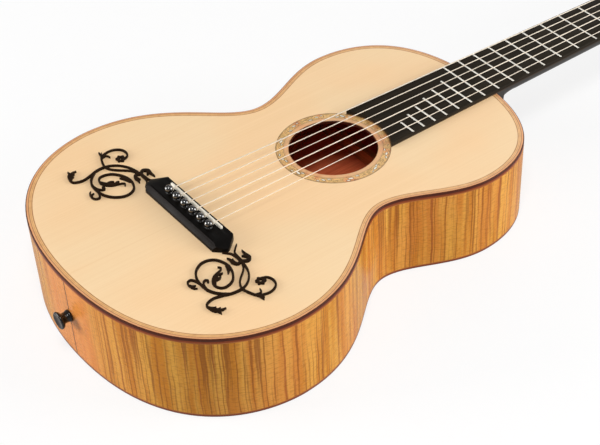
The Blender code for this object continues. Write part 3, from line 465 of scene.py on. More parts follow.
@dataclass(frozen=True)
class FlamedWood(Finish):
    """Curly golden-brown wood under gloss lacquer: flames stand across a fine grain with open pores."""

    dark: Colour = tone(128, 66, 14)
    red: Colour = tone(148, 66, 24)
    middle: Colour = tone(204, 130, 34)
    light: Colour = tone(234, 174, 72)
    warm: Colour = tone(236, 146, 78)
    axis: Axis = Axis.UV
    warm_lit_tail: float = 55 * MM
    gloss: Pair = (0.22, 0.32)

    def wire(self, graph: Graph, shader: Node) -> None:
        """Wires flames of three sizes over the grain, and shifts of hue along the piece: random warm patches,
        and a warm, bright zone at the tail, partly the wood's tone and partly painted light, where the flames
        fade.
        """
        place = place_of(graph, self.axis)
        figure = graph.group(FIGURE.tree(), {"Place": place})
        grain = self.grain(graph, place, 1.1 * MM, 20 * MM)
        colour = graph.mix(graph.times(figure["Flames"], 0.8), self.middle, self.light)
        # warm zone at the tail: partly the wood's own tone, partly painted light
        away = graph.math("ABSOLUTE", graph.parts(place)[0])
        tail = graph.spread(away, 0.3 * self.warm_lit_tail, self.warm_lit_tail, 0.75, 0.0)
        warm = graph.math("MAXIMUM", graph.times(figure["Patches"], 0.35), tail)
        colour = graph.mix(warm, colour, self.warm)
        # the flames fade in the painted bright zone at the tail
        calm = graph.math("MULTIPLY_ADD", tail, -0.6, 0.62)
        colour = graph.tint(colour, self.dark, figure["Fine flames"], calm)
        colour = graph.tint(colour, self.red, figure["Streaks"], calm)
        colour = graph.tint(colour, self.dark, figure["Weave"], 0.26)
        colour = graph.tint(colour, self.dark, grain["Pores"], 0.25)
        if self.axis is Axis.BOOKMATCHED:
            across = graph.parts(place)[1]
            colour = graph.mix(graph.spread(across, 0.5 * MM, 0.9 * MM, 0.85, 0.0), colour, self.dark)
        gloss = self.handled(graph, place, self.gloss[0], self.gloss[1])
        self.surface(graph, shader, colour, gloss, graph.math("SUBTRACT", 1.0, grain["Pores"]), 0.005 * MM)
        self.lacquer(shader, 0.08, 0.09, 0.22)


@dataclass(frozen=True)
class Stripes(Finish):
    """Thin lines of wood laid side by side, read across the strip from its UV map."""

    lines: tuple[tuple[float, Colour], ...] = ()
    start: float = 0.0
    blocks: float = 3.0 * MM

    def wire(self, graph: Graph, shader: Node) -> None:
        """Wires one colour for each line, with short blocks of slightly different tone along it."""
        place = place_of(graph, Axis.UV)
        along, across, _ = graph.parts(place)
        inward = graph.math("SUBTRACT", across, self.start)
        colour: Value = self.lines[0][1]
        for edge, paint in self.lines[1:]:
            colour = graph.mix(graph.spread(inward, edge - 0.06 * MM, edge + 0.06 * MM), colour, paint)
        step = graph.math("FLOOR", graph.math("DIVIDE", along, self.blocks))
        change = graph.node("ShaderNodeTexWhiteNoise", {"W": step}, noise_dimensions="1D").outputs[0]
        colour = graph.mix(graph.times(change, 0.2), colour, tone(176, 130, 86), "MULTIPLY")
        grain = self.grain(graph, place, 0.25 * MM, 9 * MM)
        colour = graph.tint(colour, tone(140, 96, 58), grain["Lines"], 0.18)
        gloss = self.handled(graph, place, 0.32, 0.42)
        self.surface(graph, shader, colour, gloss, grain["Lines"], 0.006 * MM)
        self.lacquer(shader, 0.25, 0.2)


@dataclass(frozen=True)
class ShadedBindingSide(Finish):
    """The side of a binding: red-brown, darker than the upper face partly as painted shade, almost black
    along its rounded outer corner as painted shade, and lighter towards the rib.
    """

    name: str = "binding side with painted shade"
    corner: Colour = tone(70, 26, 10)
    middle: Colour = tone(144, 64, 26)
    foot: Colour = tone(188, 116, 52)

    def wire(self, graph: Graph, shader: Node) -> None:
        """Wires the fade across the strip, which starts at the rib in its UV map, with painted shade towards
        the outer corner, and its grain.
        """
        place = place_of(graph, Axis.UV)
        grain = self.grain(graph, place, 0.4 * MM, 30 * MM)
        stray = graph.times(graph.noise(place, 60.0, 2.0, 0.5, 3.0), 1.2 * MM)
        across = graph.math("ADD", graph.parts(place)[1], stray)
        colour = graph.mix(graph.spread(across, 0.6 * MM, 2.2 * MM), self.foot, self.middle)
        # painted shade: the rounded outer corner turns almost black
        colour = graph.mix(graph.spread(across, 2.6 * MM, 3.8 * MM, 0.0, 0.95), colour, self.corner)
        colour = graph.tint(colour, self.corner, grain["Lines"], 0.3)
        gloss = self.handled(graph, place, 0.25, 0.35)
        self.surface(graph, shader, colour, gloss, grain["Lines"], 0.006 * MM)
        self.lacquer(shader, 0.1, mirror=0.3)


@dataclass(frozen=True)
class BurlRing(Finish):
    """The rosette's ring: a pale pinkish inner band, a thin line, burl with fine dashes, and dark edges."""

    name: str = "rosette burl"
    inner: Colour = tone(226, 176, 124)
    burl: Colour = tone(232, 186, 118)
    olive: Colour = tone(178, 142, 76)
    rust: Colour = tone(228, 140, 84)
    edge: Colour = tone(104, 62, 28)
    seam: float = 6.9 * MM
    lines: tuple[tuple[float, float, float], ...] = (
        (0.25 * MM, 0.3 * MM, 0.8), (1.1 * MM, 0.12 * MM, 0.5), (6.9 * MM, 0.16 * MM, 0.65),
        (7.9 * MM, 0.08 * MM, 0.35), (11.3 * MM, 0.15 * MM, 0.5))

    def wire(self, graph: Graph, shader: Node) -> None:
        """Wires the bands by the distance from the ring's outer edge, which the UV map holds."""
        place = place_of(graph, Axis.UV)
        along, inward, _ = graph.parts(place)
        clouds = graph.noise(place, 110.0, 3.0, 0.6, 2.0)
        rusty = graph.noise(place, 45.0, 3.0, 0.6, 9.0)
        drawn = graph.combine(graph.times(along, 330.0), graph.times(inward, 2100.0))
        dashes = graph.noise(drawn, 1.0, 2.0, 0.55, 4.0)
        burl = graph.mix(graph.spread(clouds, 0.46, 0.62, 0.0, 0.6), self.burl, self.olive)
        burl = graph.mix(graph.spread(rusty, 0.5, 0.6, 0.0, 0.8), burl, self.rust)
        burl = graph.mix(graph.spread(dashes, 0.52, 0.62, 0.0, 0.75), burl, self.edge)
        inner = graph.mix(graph.spread(rusty, 0.46, 0.62, 0.0, 0.5), self.inner, self.rust)
        inner = graph.mix(graph.spread(dashes, 0.5, 0.75, 0.0, 0.22), inner, self.edge)
        colour = graph.mix(graph.spread(inward, self.seam - 0.1 * MM, self.seam + 0.1 * MM), burl, inner)
        for middle, half, share in self.lines:
            away = graph.math("ABSOLUTE", graph.math("SUBTRACT", inward, middle))
            colour = graph.mix(graph.spread(away, half, half + 0.12 * MM, share, 0.0), colour, self.edge)
        gloss = self.handled(graph, place, 0.3, 0.4)
        self.surface(graph, shader, colour, gloss, dashes, 0.004 * MM)
        self.lacquer(shader, 0.2, 0.18)


@dataclass(frozen=True)
class Pearl(Finish):
    """Chips of shell: pale, with soft shifts from cream to blue-green and pink."""

    name: str = "rosette pearl"

    def wire(self, graph: Graph, shader: Node) -> None:
        """Wires layers of shell and their changing tint."""
        place = place_of(graph, Axis.Y)
        tint = graph.noise(place, 420.0, 2.0, 0.5, 1.0)
        layers = graph.noise(place, 1600.0, 2.0, 0.6, 6.0)
        colour = graph.mix(graph.spread(tint, 0.4, 0.66), tone(244, 234, 214), tone(214, 220, 204))
        colour = graph.mix(graph.spread(tint, 0.55, 0.7, 0.0, 0.5), colour, tone(238, 208, 188))
        colour = graph.mix(graph.spread(layers, 0.45, 0.75, 0.0, 0.25), colour, tone(170, 162, 142))
        self.surface(graph, shader, colour, graph.spread(layers, 0.3, 0.7, 0.12, 0.3), layers, 0.004 * MM)
        self.lacquer(shader, 0.4)


@dataclass(frozen=True)
class Bone(Finish):
    """Polished bone: warm white with faint streaks and pits."""

    name: str = "polished bone"

    def wire(self, graph: Graph, shader: Node) -> None:
        """Wires streaks along X, fine pits and slow yellowing."""
        place = place_of(graph, Axis.X)
        grain = self.grain(graph, place, 0.5 * MM, 12 * MM)
        colour = graph.mix(graph.times(grain["Lines"], 0.3), tone(240, 234, 220), tone(222, 208, 180))
        colour = graph.tint(colour, tone(196, 176, 142), grain["Pores"], 0.3)
        gloss = self.handled(graph, place, 0.24, 0.36)
        self.surface(graph, shader, colour, gloss, grain["Pores"], 0.006 * MM)


@dataclass(frozen=True)
class BarMetal(Finish):
    """The frets: nickel silver, polished by the strings and faintly brushed."""

    name: str = "fret metal"

    def wire(self, graph: Graph, shader: Node) -> None:
        """Wires brush marks along X and small dull patches."""
        place = place_of(graph, Axis.X)
        grain = self.grain(graph, place, 0.12 * MM, 6 * MM)
        colour = graph.mix(graph.times(grain["Lines"], 0.3), tone(240, 236, 226), tone(214, 208, 196))
        gloss = self.handled(graph, place, 0.36, 0.46)
        self.surface(graph, shader, colour, gloss, grain["Lines"], 0.001 * MM)
        shader.inputs["Metallic"].default_value = 0.3


@dataclass(frozen=True)
class StringSkin(Finish):
    """A string: a smooth pale strand, or one wound with fine bright wire, by the length along it."""

    colour: Colour = tone(252, 244, 232)
    cloudy_tone_and_groove_shade: Colour = tone(238, 224, 204)
    wound: bool = False

    def wire(self, graph: Graph, shader: Node) -> None:
        """Wires the turns of the winding, with painted shade in the grooves between them, or the slight
        cloudiness of a plain strand.
        """
        along = graph.node("ShaderNodeAttribute", attribute_name="along").outputs["Fac"]
        place = place_of(graph, Axis.Y)
        cloud = graph.noise(place, 300.0, 2.0, 0.5, 1.0)
        colour = graph.mix(graph.spread(cloud, 0.3, 0.7, 0.0, 0.5), self.colour, self.cloudy_tone_and_groove_shade)
        if self.wound:
            turns = graph.math("SINE", graph.times(along, math.tau / (0.22 * MM)))
            height = graph.math("MULTIPLY_ADD", turns, 0.5, 0.5)
            # painted shade: the grooves between the turns are darker
            colour = graph.mix(graph.spread(height, 0.0, 0.6, 0.35, 1.0), self.cloudy_tone_and_groove_shade, colour)
            self.surface(graph, shader, colour, graph.spread(cloud, 0.3, 0.7, 0.3, 0.42), height, 0.015 * MM)
            shader.inputs["Metallic"].default_value = 0.15
        else:
            self.surface(graph, shader, colour, graph.spread(cloud, 0.3, 0.7, 0.18, 0.3), cloud, 0.003 * MM)


@dataclass(frozen=True)
class PaleFloor(Finish):
    """A white floor that keeps the guitar's shadow, fades to pure white, and is clear from below."""

    name: str = "pale floor"
    glow: float = 0.74
    paper: float = 0.25
    bounce: float = 0.32
    underlight: float = 0.17
    near: float = 0.9
    far: float = 2.0

    def wire(self, graph: Graph, shader: Node) -> None:
        """Wires a bright floor for the camera, and a plainer one for the light that it sends back."""
        graph.tree.nodes.remove(shader)
        place = place_of(graph, Axis.X)
        fibre = graph.noise(place, 60.0, 3.0, 0.6)
        away = graph.node("ShaderNodeVectorMath", {0: place}, operation="LENGTH").outputs["Value"]
        fade = graph.spread(away, self.near, self.far)
        paint = graph.mix(fibre, self.grey(self.paper), self.grey(self.paper - 0.01))
        glow = graph.math("MULTIPLY_ADD", fade, 1.0 - self.glow, self.glow)
        seen = self.lit(graph, graph.mix(fade, paint, self.grey(0.0)), glow)
        plain = self.lit(graph, self.grey(self.bounce), self.underlight)
        path = graph.node("ShaderNodeLightPath").outputs
        bright = graph.math("MAXIMUM", path["Is Camera Ray"], path["Is Transmission Ray"])
        above = graph.node("ShaderNodeMixShader", {0: bright, 1: plain, 2: seen}).outputs[0]
        below = graph.node("ShaderNodeBsdfTransparent").outputs[0]
        back = graph.node("ShaderNodeNewGeometry").outputs["Backfacing"]
        mixed = graph.node("ShaderNodeMixShader", {0: back, 1: above, 2: below}).outputs[0]
        graph.feed(graph.tree.nodes["Material Output"], "Surface", mixed)

    def grey(self, level: float) -> Colour:
        """A grey of this level."""
        return level, level, level, 1.0

    def lit(self, graph: Graph, colour: Value, strength: Value) -> Socket:
        """A dull surface that glows white.

        Args:
            graph: the material's tree.
            colour: its colour.
            strength: how strongly it glows.

        Returns:
            The shader.
        """
        dull = graph.node("ShaderNodeBsdfDiffuse", {"Color": colour}).outputs[0]
        glow = graph.node("ShaderNodeEmission", {"Color": WHITE, "Strength": strength}).outputs[0]
        return graph.node("ShaderNodeAddShader", {0: dull, 1: glow}).outputs[0]


SPRUCE = SpruceTop()
RIB_WOOD = FlamedWood("flamed ribs")
BACK_WOOD = FlamedWood("flamed back", axis=Axis.BOOKMATCHED, warm_lit_tail=0.1 * MM)
# the upper face of the top binding is lighter than its side, whose darker red-brown is partly painted shade
BINDING_FACE = PlainWood("binding upper face", tone(230, 170, 120), tone(198, 134, 86),
                         Axis.UV, 0.4 * MM, 30 * MM, 0.4, (0.3, 0.4), 0.3, 0.06)
SHADED_BINDING_SIDE = ShadedBindingSide()
EDGE_LINES = Stripes("edge lines", (
    (0.0, tone(160, 104, 64)), (0.45 * MM, tone(238, 186, 124)), (1.4 * MM, tone(220, 164, 104)),
    (1.9 * MM, tone(240, 190, 128)), (2.8 * MM, tone(172, 116, 68)), (3.3 * MM, tone(218, 162, 104))),
    INLAY_DEEP)
BURL = BurlRing()
PEARL = Pearl()
CHIP_LINE = PlainWood("rosette dark slips", tone(122, 82, 48), tone(84, 54, 30),
                      Axis.X, 0.3 * MM, 8 * MM, 0.6, (0.3, 0.4), 0.4, 0.1)
# the wall of the soundhole and the inner wall of the rosette are dark red-brown
HOLE_EDGE = PlainWood("dark red-brown hole edge", tone(84, 34, 18), tone(52, 20, 10),
                      Axis.UV, 0.5 * MM, 30 * MM, 0.5, (0.4, 0.5), 0.3)
INSIDE_RED = PlainWood("inner face of the back", tone(238, 122, 78), tone(192, 80, 44),
                       Axis.Y, 1.1 * MM, 120 * MM, 0.4, (0.45, 0.6), 0.3)
BLOCK_WOOD = PlainWood("inner blocks", tone(204, 128, 78), tone(160, 90, 50),
                       Axis.X, 1.2 * MM, 90 * MM, 0.5, (0.5, 0.65), 0.3)
LINING_WOOD = PlainWood("inner linings", tone(196, 116, 68), tone(150, 80, 46),
                        Axis.Y, 1.0 * MM, 90 * MM, 0.5, (0.5, 0.65), 0.3)
EBONY = PlainWood("oiled ebony", tone(31, 27, 21), tone(48, 40, 29),
                  Axis.Y, 0.35 * MM, 60 * MM, 0.35, (0.42, 0.52), 0.08, 0.0, 0.2, 0.012 * MM)
# painted reflection: the board's lower edge is painted brown for the spruce top reflected in it
BOARD_EDGE_REFLECTION = PlainWood("fingerboard lower edge painted reflection", tone(58, 40, 24), tone(40, 27, 17),
                       Axis.Y, 0.35 * MM, 60 * MM, 0.35, (0.34, 0.46), 0.4, 0.0, 0.2, 0.012 * MM)
NECK_BLACK = PlainWood("black neck", tone(44, 43, 40), tone(58, 55, 50),
                       Axis.Y, 0.5 * MM, 90 * MM, 0.4, (0.32, 0.4), 0.4, 0.15, 0.3, 0.012 * MM)
BRIDGE_BLACK = PlainWood("black bridge", tone(9, 8, 7), tone(20, 16, 13),
                         Axis.X, 0.4 * MM, 40 * MM, 0.4, (0.3, 0.4), 0.08, 0.0, 0.2, 0.012 * MM)
BRIDGE_WORN = PlainWood("worn bridge slope", tone(14, 10, 8), tone(28, 19, 12),
                        Axis.X, 0.4 * MM, 40 * MM, 0.4, (0.34, 0.46), 0.05, 0.0, 0.2, 0.012 * MM)
SCROLL_BLACK = PlainWood("black scroll wood", tone(26, 15, 6), tone(48, 30, 14),
                         Axis.X, 0.4 * MM, 30 * MM, 0.4, (0.34, 0.46), 0.08, 0.0, 0.2, 0.01 * MM)
TURNED_BLACK = PlainWood("polished turned black", tone(12, 10, 9), tone(26, 21, 18),
                         Axis.Z, 0.4 * MM, 30 * MM, 0.35, (0.16, 0.24), 0.25, 0.5, 0.08, 0.003 * MM)
PIN_BLACK = PlainWood("polished bridge pins", tone(10, 8, 7), tone(22, 18, 15),
                      Axis.Z, 0.4 * MM, 30 * MM, 0.35, (0.16, 0.24), 0.3, 1.0, 0.09, 0.003 * MM, 2.0)
TAIL_LINE = PlainWood("dark tail line", tone(58, 24, 8), tone(36, 14, 6),
                      Axis.Z, 0.3 * MM, 30 * MM, 0.5, (0.25, 0.35), 0.35, 0.1)
BONE = Bone()
FRET_METAL = BarMetal()
PLAIN_STRING = StringSkin("plain string", tone(238, 224, 204), tone(222, 204, 180))
WOUND_STRING = StringSkin("wound string", tone(240, 228, 210), tone(212, 194, 170), True)
FLOOR = PaleFloor()


@dataclass(frozen=True)
class Outline:
    """A flat outline with its material on the left of its points."""

    points: tuple[Vector, ...]
    closed: bool = True

    def shifted(self, distance: float) -> list[Vector]:
        """The outline drawn in towards its material.

        Args:
            distance: how far.

        Returns:
            The new points, as many as before.
        """
        made = []
        last = len(self.points) - 1
        for i, point in enumerate(self.points):
            after = self.points[i + 1] if i < last else self.points[0 if self.closed else last]
            before = self.points[i - 1] if i or self.closed else point
            along = (after - before).normalized()
            made.append(Vector((point.x - along.y * distance, point.y + along.x * distance)))
        return made

    def rim(self, levels: Iterable[Pair]) -> list[list[Vector]]:
        """One ring of points for each level, which says how far it is drawn in and its height."""
        return [[Vector((p.x, p.y, height)) for p in self.shifted(inward)] for inward, height in levels]


def circle(radius: float, x: float = 0.0, y: float = 0.0, points: int = 96, hole: bool = False) -> Outline:
    """A round outline about (x, y), with its material inside it, or outside where it is a hole."""
    turn = (-1 if hole else 1) * math.tau / points
    return Outline(tuple(Vector((x + radius * math.cos(i * turn), y + radius * math.sin(i * turn)))
                         for i in range(points)))


def stadium(reach: float, half: float, steps: int) -> Outline:
    """The outline of a long slot with round ends.

    Args:
        reach: how far the middle of each end's arc lies from the centre.
        half: half the slot's width.
        steps: how many straight pieces an arc has.

    Returns:
        The outline.
    """
    arc = [math.pi * (i / steps - 0.5) for i in range(steps + 1)]
    end = [Vector((reach + half * math.cos(a), half * math.sin(a))) for a in arc]
    return Outline(tuple(end + [-point for point in end]))


def bezier(corners: Sequence[Pair], steps: int) -> list[Vector]:
    """Points along a Bezier curve, without its last one.

    Args:
        corners: its start, two handles and end.
        steps: how many points.

    Returns:
        The points.
    """
    made = []
    for i in range(steps):
        t = i / steps
        weights = ((1 - t) ** 3, 3 * t * (1 - t) ** 2, 3 * t * t * (1 - t), t ** 3)
        made.append(Vector((sum(w * c[0] for w, c in zip(weights, corners)),
                            sum(w * c[1] for w, c in zip(weights, corners)))))
    return made


def smooth_line(points: Sequence[Pair], steps: int) -> list[Vector]:
    """A smooth line through the points.

    Args:
        points: the points that it passes.
        steps: how many pieces lie between two of them.

    Returns:
        The line's points.
    """
    made: list[Vector] = []
    for i in range(len(points) - 1):
        before, a, b = points[max(i - 1, 0)], points[i], points[i + 1]
        after = points[min(i + 2, len(points) - 1)]
        lead = (a[0] + (b[0] - before[0]) / 6, a[1] + (b[1] - before[1]) / 6)
        trail = (b[0] - (after[0] - a[0]) / 6, b[1] - (after[1] - a[1]) / 6)
        made += bezier((a, lead, trail, b), steps)
    return made + [Vector(points[-1])]


def mirrored(half: Sequence[Vector]) -> Outline:
    """The outline of a treble half, given from its lower to its upper end, and its mirror image."""
    other = [Vector((-p.x, p.y)) for p in reversed(half) if p.x > 1e-7]
    return Outline(tuple(half) + tuple(other))


def stacked(rims: Sequence[Sequence[Sequence[Vector]]]) -> BMesh:
    """A closed flat piece. Its first rim is its outside, and the others are holes.

    Args:
        rims: for each rim its rings of points, from the lower face to the upper face.

    Returns:
        The mesh.
    """
    bm = bmesh.new()
    lower, upper = [], []
    for rim in rims:
        rings = [[bm.verts.new(point) for point in ring] for ring in rim]
        for low, high in zip(rings, rings[1:]):
            for i in range(len(low)):
                j = (i + 1) % len(low)
                bm.faces.new((low[i], low[j], high[j], high[i])).smooth = True
        lower.append(rings[0])
        upper.append(rings[-1])
    for rings in (lower, upper):
        corners = [corner for ring in rings for corner in ring]
        for triple in tessellate_polygon([[corner.co for corner in ring] for ring in rings]):
            bm.faces.new([corners[i] for i in triple])
    bmesh.ops.recalc_face_normals(bm, faces=bm.faces)
    return bm


def banded(path: Outline, section: Callable[[float], Sequence[Pair]]) -> BMesh:
    """A strip that follows an outline. Its UV map holds the way along it and round its section, in metres.

    Args:
        path: the outline. Where it isn't closed, the strip has two ends.
        section: gives the corners of its section at a place along the body, each as (inward, height).

    Returns:
        The mesh.
    """
    bm = bmesh.new()
    grain = bm.loops.layers.uv.new("grain")
    count = len(path.points)
    drawn: dict[float, list[Vector]] = {}
    corners = [section(point.y) for point in path.points]
    rings, around = [], []
    for i, shape in enumerate(corners):
        ring = []
        for inward, height in shape:
            if inward not in drawn:
                drawn[inward] = path.shifted(inward)
            ring.append(bm.verts.new((*drawn[inward][i], height)))
        rings.append(ring)
        run = [0.0]
        for a, b in zip(shape, tuple(shape[1:]) + (shape[0],)):
            run.append(run[-1] + math.dist(a, b))
        around.append(run)
    along = [0.0]
    for i in range(count):
        along.append(along[-1] + (path.points[(i + 1) % count] - path.points[i]).length)
    for i in range(count if path.closed else count - 1):
        j = (i + 1) % count
        for k in range(len(rings[i])):
            n = (k + 1) % len(rings[i])
            face = bm.faces.new((rings[i][k], rings[j][k], rings[j][n], rings[i][n]))
            face.smooth = True
            face.material_index = k
            places = ((along[i], around[i][k]), (along[i + 1], around[j][k]),
                      (along[i + 1], around[j][k + 1]), (along[i], around[i][k + 1]))
            for corner, place in zip(face.loops, places):
                corner[grain].uv = place
    if not path.closed:
        for ring in (rings[0], rings[-1]):
            bm.faces.new(ring)
    bmesh.ops.recalc_face_normals(bm, faces=bm.faces)
    return bm


def lathed(profile: Sequence[Pair], sides: int) -> BMesh:
    """A piece turned about Z.

    Args:
        profile: (radius, height) pairs from the axis down its outer side to the axis.
        sides: how many faces it has round it.

    Returns:
        The mesh.
    """
    around = [math.tau * i / sides for i in range(sides)]
    rings = [[Vector((radius * math.cos(a), radius * math.sin(a), height)) for a in around]
             for radius, height in profile[1:-1]]
    return lofted(rings, (Vector((0, 0, profile[0][1])), Vector((0, 0, profile[-1][1]))))


def drill(radius: float, reach: float, sides: int) -> BMesh:
    """A cutter for a round hole along Z, which reaches this far to each side."""
    return lathed([(0, reach), (radius, reach), (radius, -reach), (0, -reach)], sides)


def lofted(rings: Sequence[Sequence[Vector]], poles: tuple[Vector, Vector] | None = None) -> BMesh:
    """A closed skin over rings of points.

    Args:
        rings: the rings, each with as many points.
        poles: the points that close its two ends, or None for flat ends.

    Returns:
        The mesh.
    """
    bm = bmesh.new()
    loops = [[bm.verts.new(point) for point in ring] for ring in rings]
    for one, two in zip(loops, loops[1:]):
        for i in range(len(one)):
            j = (i + 1) % len(one)
            bm.faces.new((one[i], one[j], two[j], two[i])).smooth = True
    for end, ring in enumerate((loops[0], loops[-1])):
        if poles is None:
            bmesh.ops.triangulate(bm, faces=[bm.faces.new(ring)])
            continue
        pole = bm.verts.new(poles[end])
        for i in range(len(ring)):
            bm.faces.new((ring[i], ring[(i + 1) % len(ring)], pole)).smooth = True
    bmesh.ops.recalc_face_normals(bm, faces=bm.faces)
    return bm


def blocks(corners: Iterable[tuple[Sequence[float], Sequence[float]]]) -> BMesh:
    """Separate boxes, each given by its lowest and highest corner."""
    bm = bmesh.new()
    for low, high in corners:
        a, b = Vector(low), Vector(high)
        size = Matrix.Diagonal((*(b - a), 1))
        bmesh.ops.create_cube(bm, size=1, matrix=Matrix.Translation((a + b) / 2) @ size)
    return bm


def temporary(name: str, data: bpy.types.Mesh) -> bpy.types.Object:
    """An object for work in hand, linked to the scene."""
    obj = bpy.data.objects.new(name, data)
    bpy.context.scene.collection.objects.link(obj)
    return obj


def mesh_of(name: str, bm: BMesh) -> bpy.types.Mesh:
    """The mesh of a finished bmesh, which is freed."""
    mesh = bpy.data.meshes.new(name)
    bm.to_mesh(mesh)
    bm.free()
    return mesh


def evaluated(obj: bpy.types.Object) -> BMesh:
    """The object's mesh with its modifiers applied. The object is removed.

    Args:
        obj: an object for work in hand.

    Returns:
        The mesh.
    """
    bpy.context.view_layer.update()
    ready = obj.evaluated_get(bpy.context.evaluated_depsgraph_get())
    mesh = bpy.data.meshes.new_from_object(ready)
    bm = bmesh.new()
    bm.from_mesh(mesh)
    bpy.data.objects.remove(obj)
    bpy.data.meshes.remove(mesh)
    return bm


def carved(base: BMesh, steps: Sequence[tuple[Joining, BMesh]],
           bevel: float = 0.0) -> BMesh:
    """A solid with others cut from it or joined to it, and its edges softened.

    Args:
        base: the solid.
        steps: what is done, in order.
        bevel: how far back its sharp edges are cut.

    Returns:
        The new solid.
    """
    obj = temporary("base", mesh_of("base", base))
    others = []
    for how, solid in steps:
        other = temporary("other", mesh_of("other", solid))
        others.append(other)
        joined = obj.modifiers.new("joined", "BOOLEAN")
        joined.operation = how.value
        joined.object = other
    if bevel:
        soft = obj.modifiers.new("soft edges", "BEVEL")
        soft.width = bevel
        soft.segments = 2
        soft.limit_method = "ANGLE"
        soft.angle_limit = math.radians(32)
        soft.use_clamp_overlap = True
    made = evaluated(obj)
    for other in others:
        bpy.data.objects.remove(other)
    bmesh.ops.remove_doubles(made, verts=made.verts, dist=0.002 * MM)
    stray = [face for face in made.faces
             if face.calc_area() < SLIVER and any(edge.is_boundary for edge in face.edges)]
    bmesh.ops.delete(made, geom=stray, context="FACES")
    bmesh.ops.recalc_face_normals(made, faces=made.faces)
    return made


def set_out(name: str, bm: BMesh, place: Matrix, finishes: Sequence[Finish], body: str,
            nodes: Sequence[str] = (), sharp: float | None = 35.0) -> bpy.types.Object:
    """Puts a finished piece in its place and hands it to the frame.

    Args:
        name: its name.
        bm: its mesh, in a frame of its own.
        place: that frame.
        finishes: its materials, in the order of its faces' numbers.
        body: what it rides on.
        nodes: the solids that it stands for.
        sharp: the angle in degrees past which an edge stays sharp, or None to leave the faces as they are.

    Returns:
        The object.
    """
    bm.transform(place)
    if sharp is not None:
        for face in bm.faces:
            face.smooth = True
    mesh = mesh_of(name, bm)
    for finish in finishes:
        mesh.materials.append(finish.material())
    last = len(finishes) - 1
    for face in mesh.polygons:
        face.material_index = min(face.material_index, last)
    mesh.set_sharp_from_angle(angle=math.radians(sharp if sharp is not None else 35.0))
    obj = temporary(name, mesh)
    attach(obj, body)
    if nodes:
        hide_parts(*nodes)
    log.info("%s: %d faces on %s", name, len(mesh.polygons), body)
    return obj


@dataclass(frozen=True)
class Growth:
    """A Geometry Nodes tree, built in code and applied to a plain mesh."""

    name: str
    takes: Takes

    def grow(self, mesh: bpy.types.Mesh, values: dict[str, float | int], finish: Finish) -> BMesh:
        """Builds what the tree makes of a mesh.

        Args:
            mesh: what goes in.
            values: the tree's inputs by name.
            finish: the material that it sets.

        Returns:
            The mesh that it makes.
        """
        tree = bpy.data.node_groups.get(self.name) or self.tree()
        obj = temporary(self.name, mesh)
        modifier = obj.modifiers.new(self.name, "NODES")
        modifier.node_group = tree
        sockets = {item.name: item.identifier for item in tree.interface.items_tree if item.in_out == "INPUT"}
        for name, value in values.items():
            modifier[sockets[name]] = value
        modifier[sockets["Finish"]] = finish.material()
        return evaluated(obj)

    def tree(self) -> bpy.types.NodeTree:
        """The tree, wired once.

        Returns:
            The node tree.
        """
        made = bpy.data.node_groups.new(self.name, "GeometryNodeTree")
        made.interface.new_socket("Geometry", in_out="INPUT", socket_type="NodeSocketGeometry")
        for name, value in self.takes:
            kind = "NodeSocketInt" if isinstance(value, int) else "NodeSocketFloat"
            made.interface.new_socket(name, in_out="INPUT", socket_type=kind).default_value = value
        made.interface.new_socket("Finish", in_out="INPUT", socket_type="NodeSocketMaterial")
        made.interface.new_socket("Geometry", in_out="OUTPUT", socket_type="NodeSocketGeometry")
        graph = Graph(made)
        given = made.nodes.new("NodeGroupInput").outputs
        real = graph.node("GeometryNodeRealizeInstances", {0: self.wire(graph, given)}).outputs[0]
        dressed = graph.node("GeometryNodeSetMaterial", {"Geometry": real, "Material": given["Finish"]})
        made.links.new(dressed.outputs[0], made.nodes.new("NodeGroupOutput").inputs[0])
        return made

    def wire(self, graph: Graph, given: Outputs) -> Socket:
        """Wires the tree from its inputs, and gives the geometry that it makes."""
        raise NotImplementedError


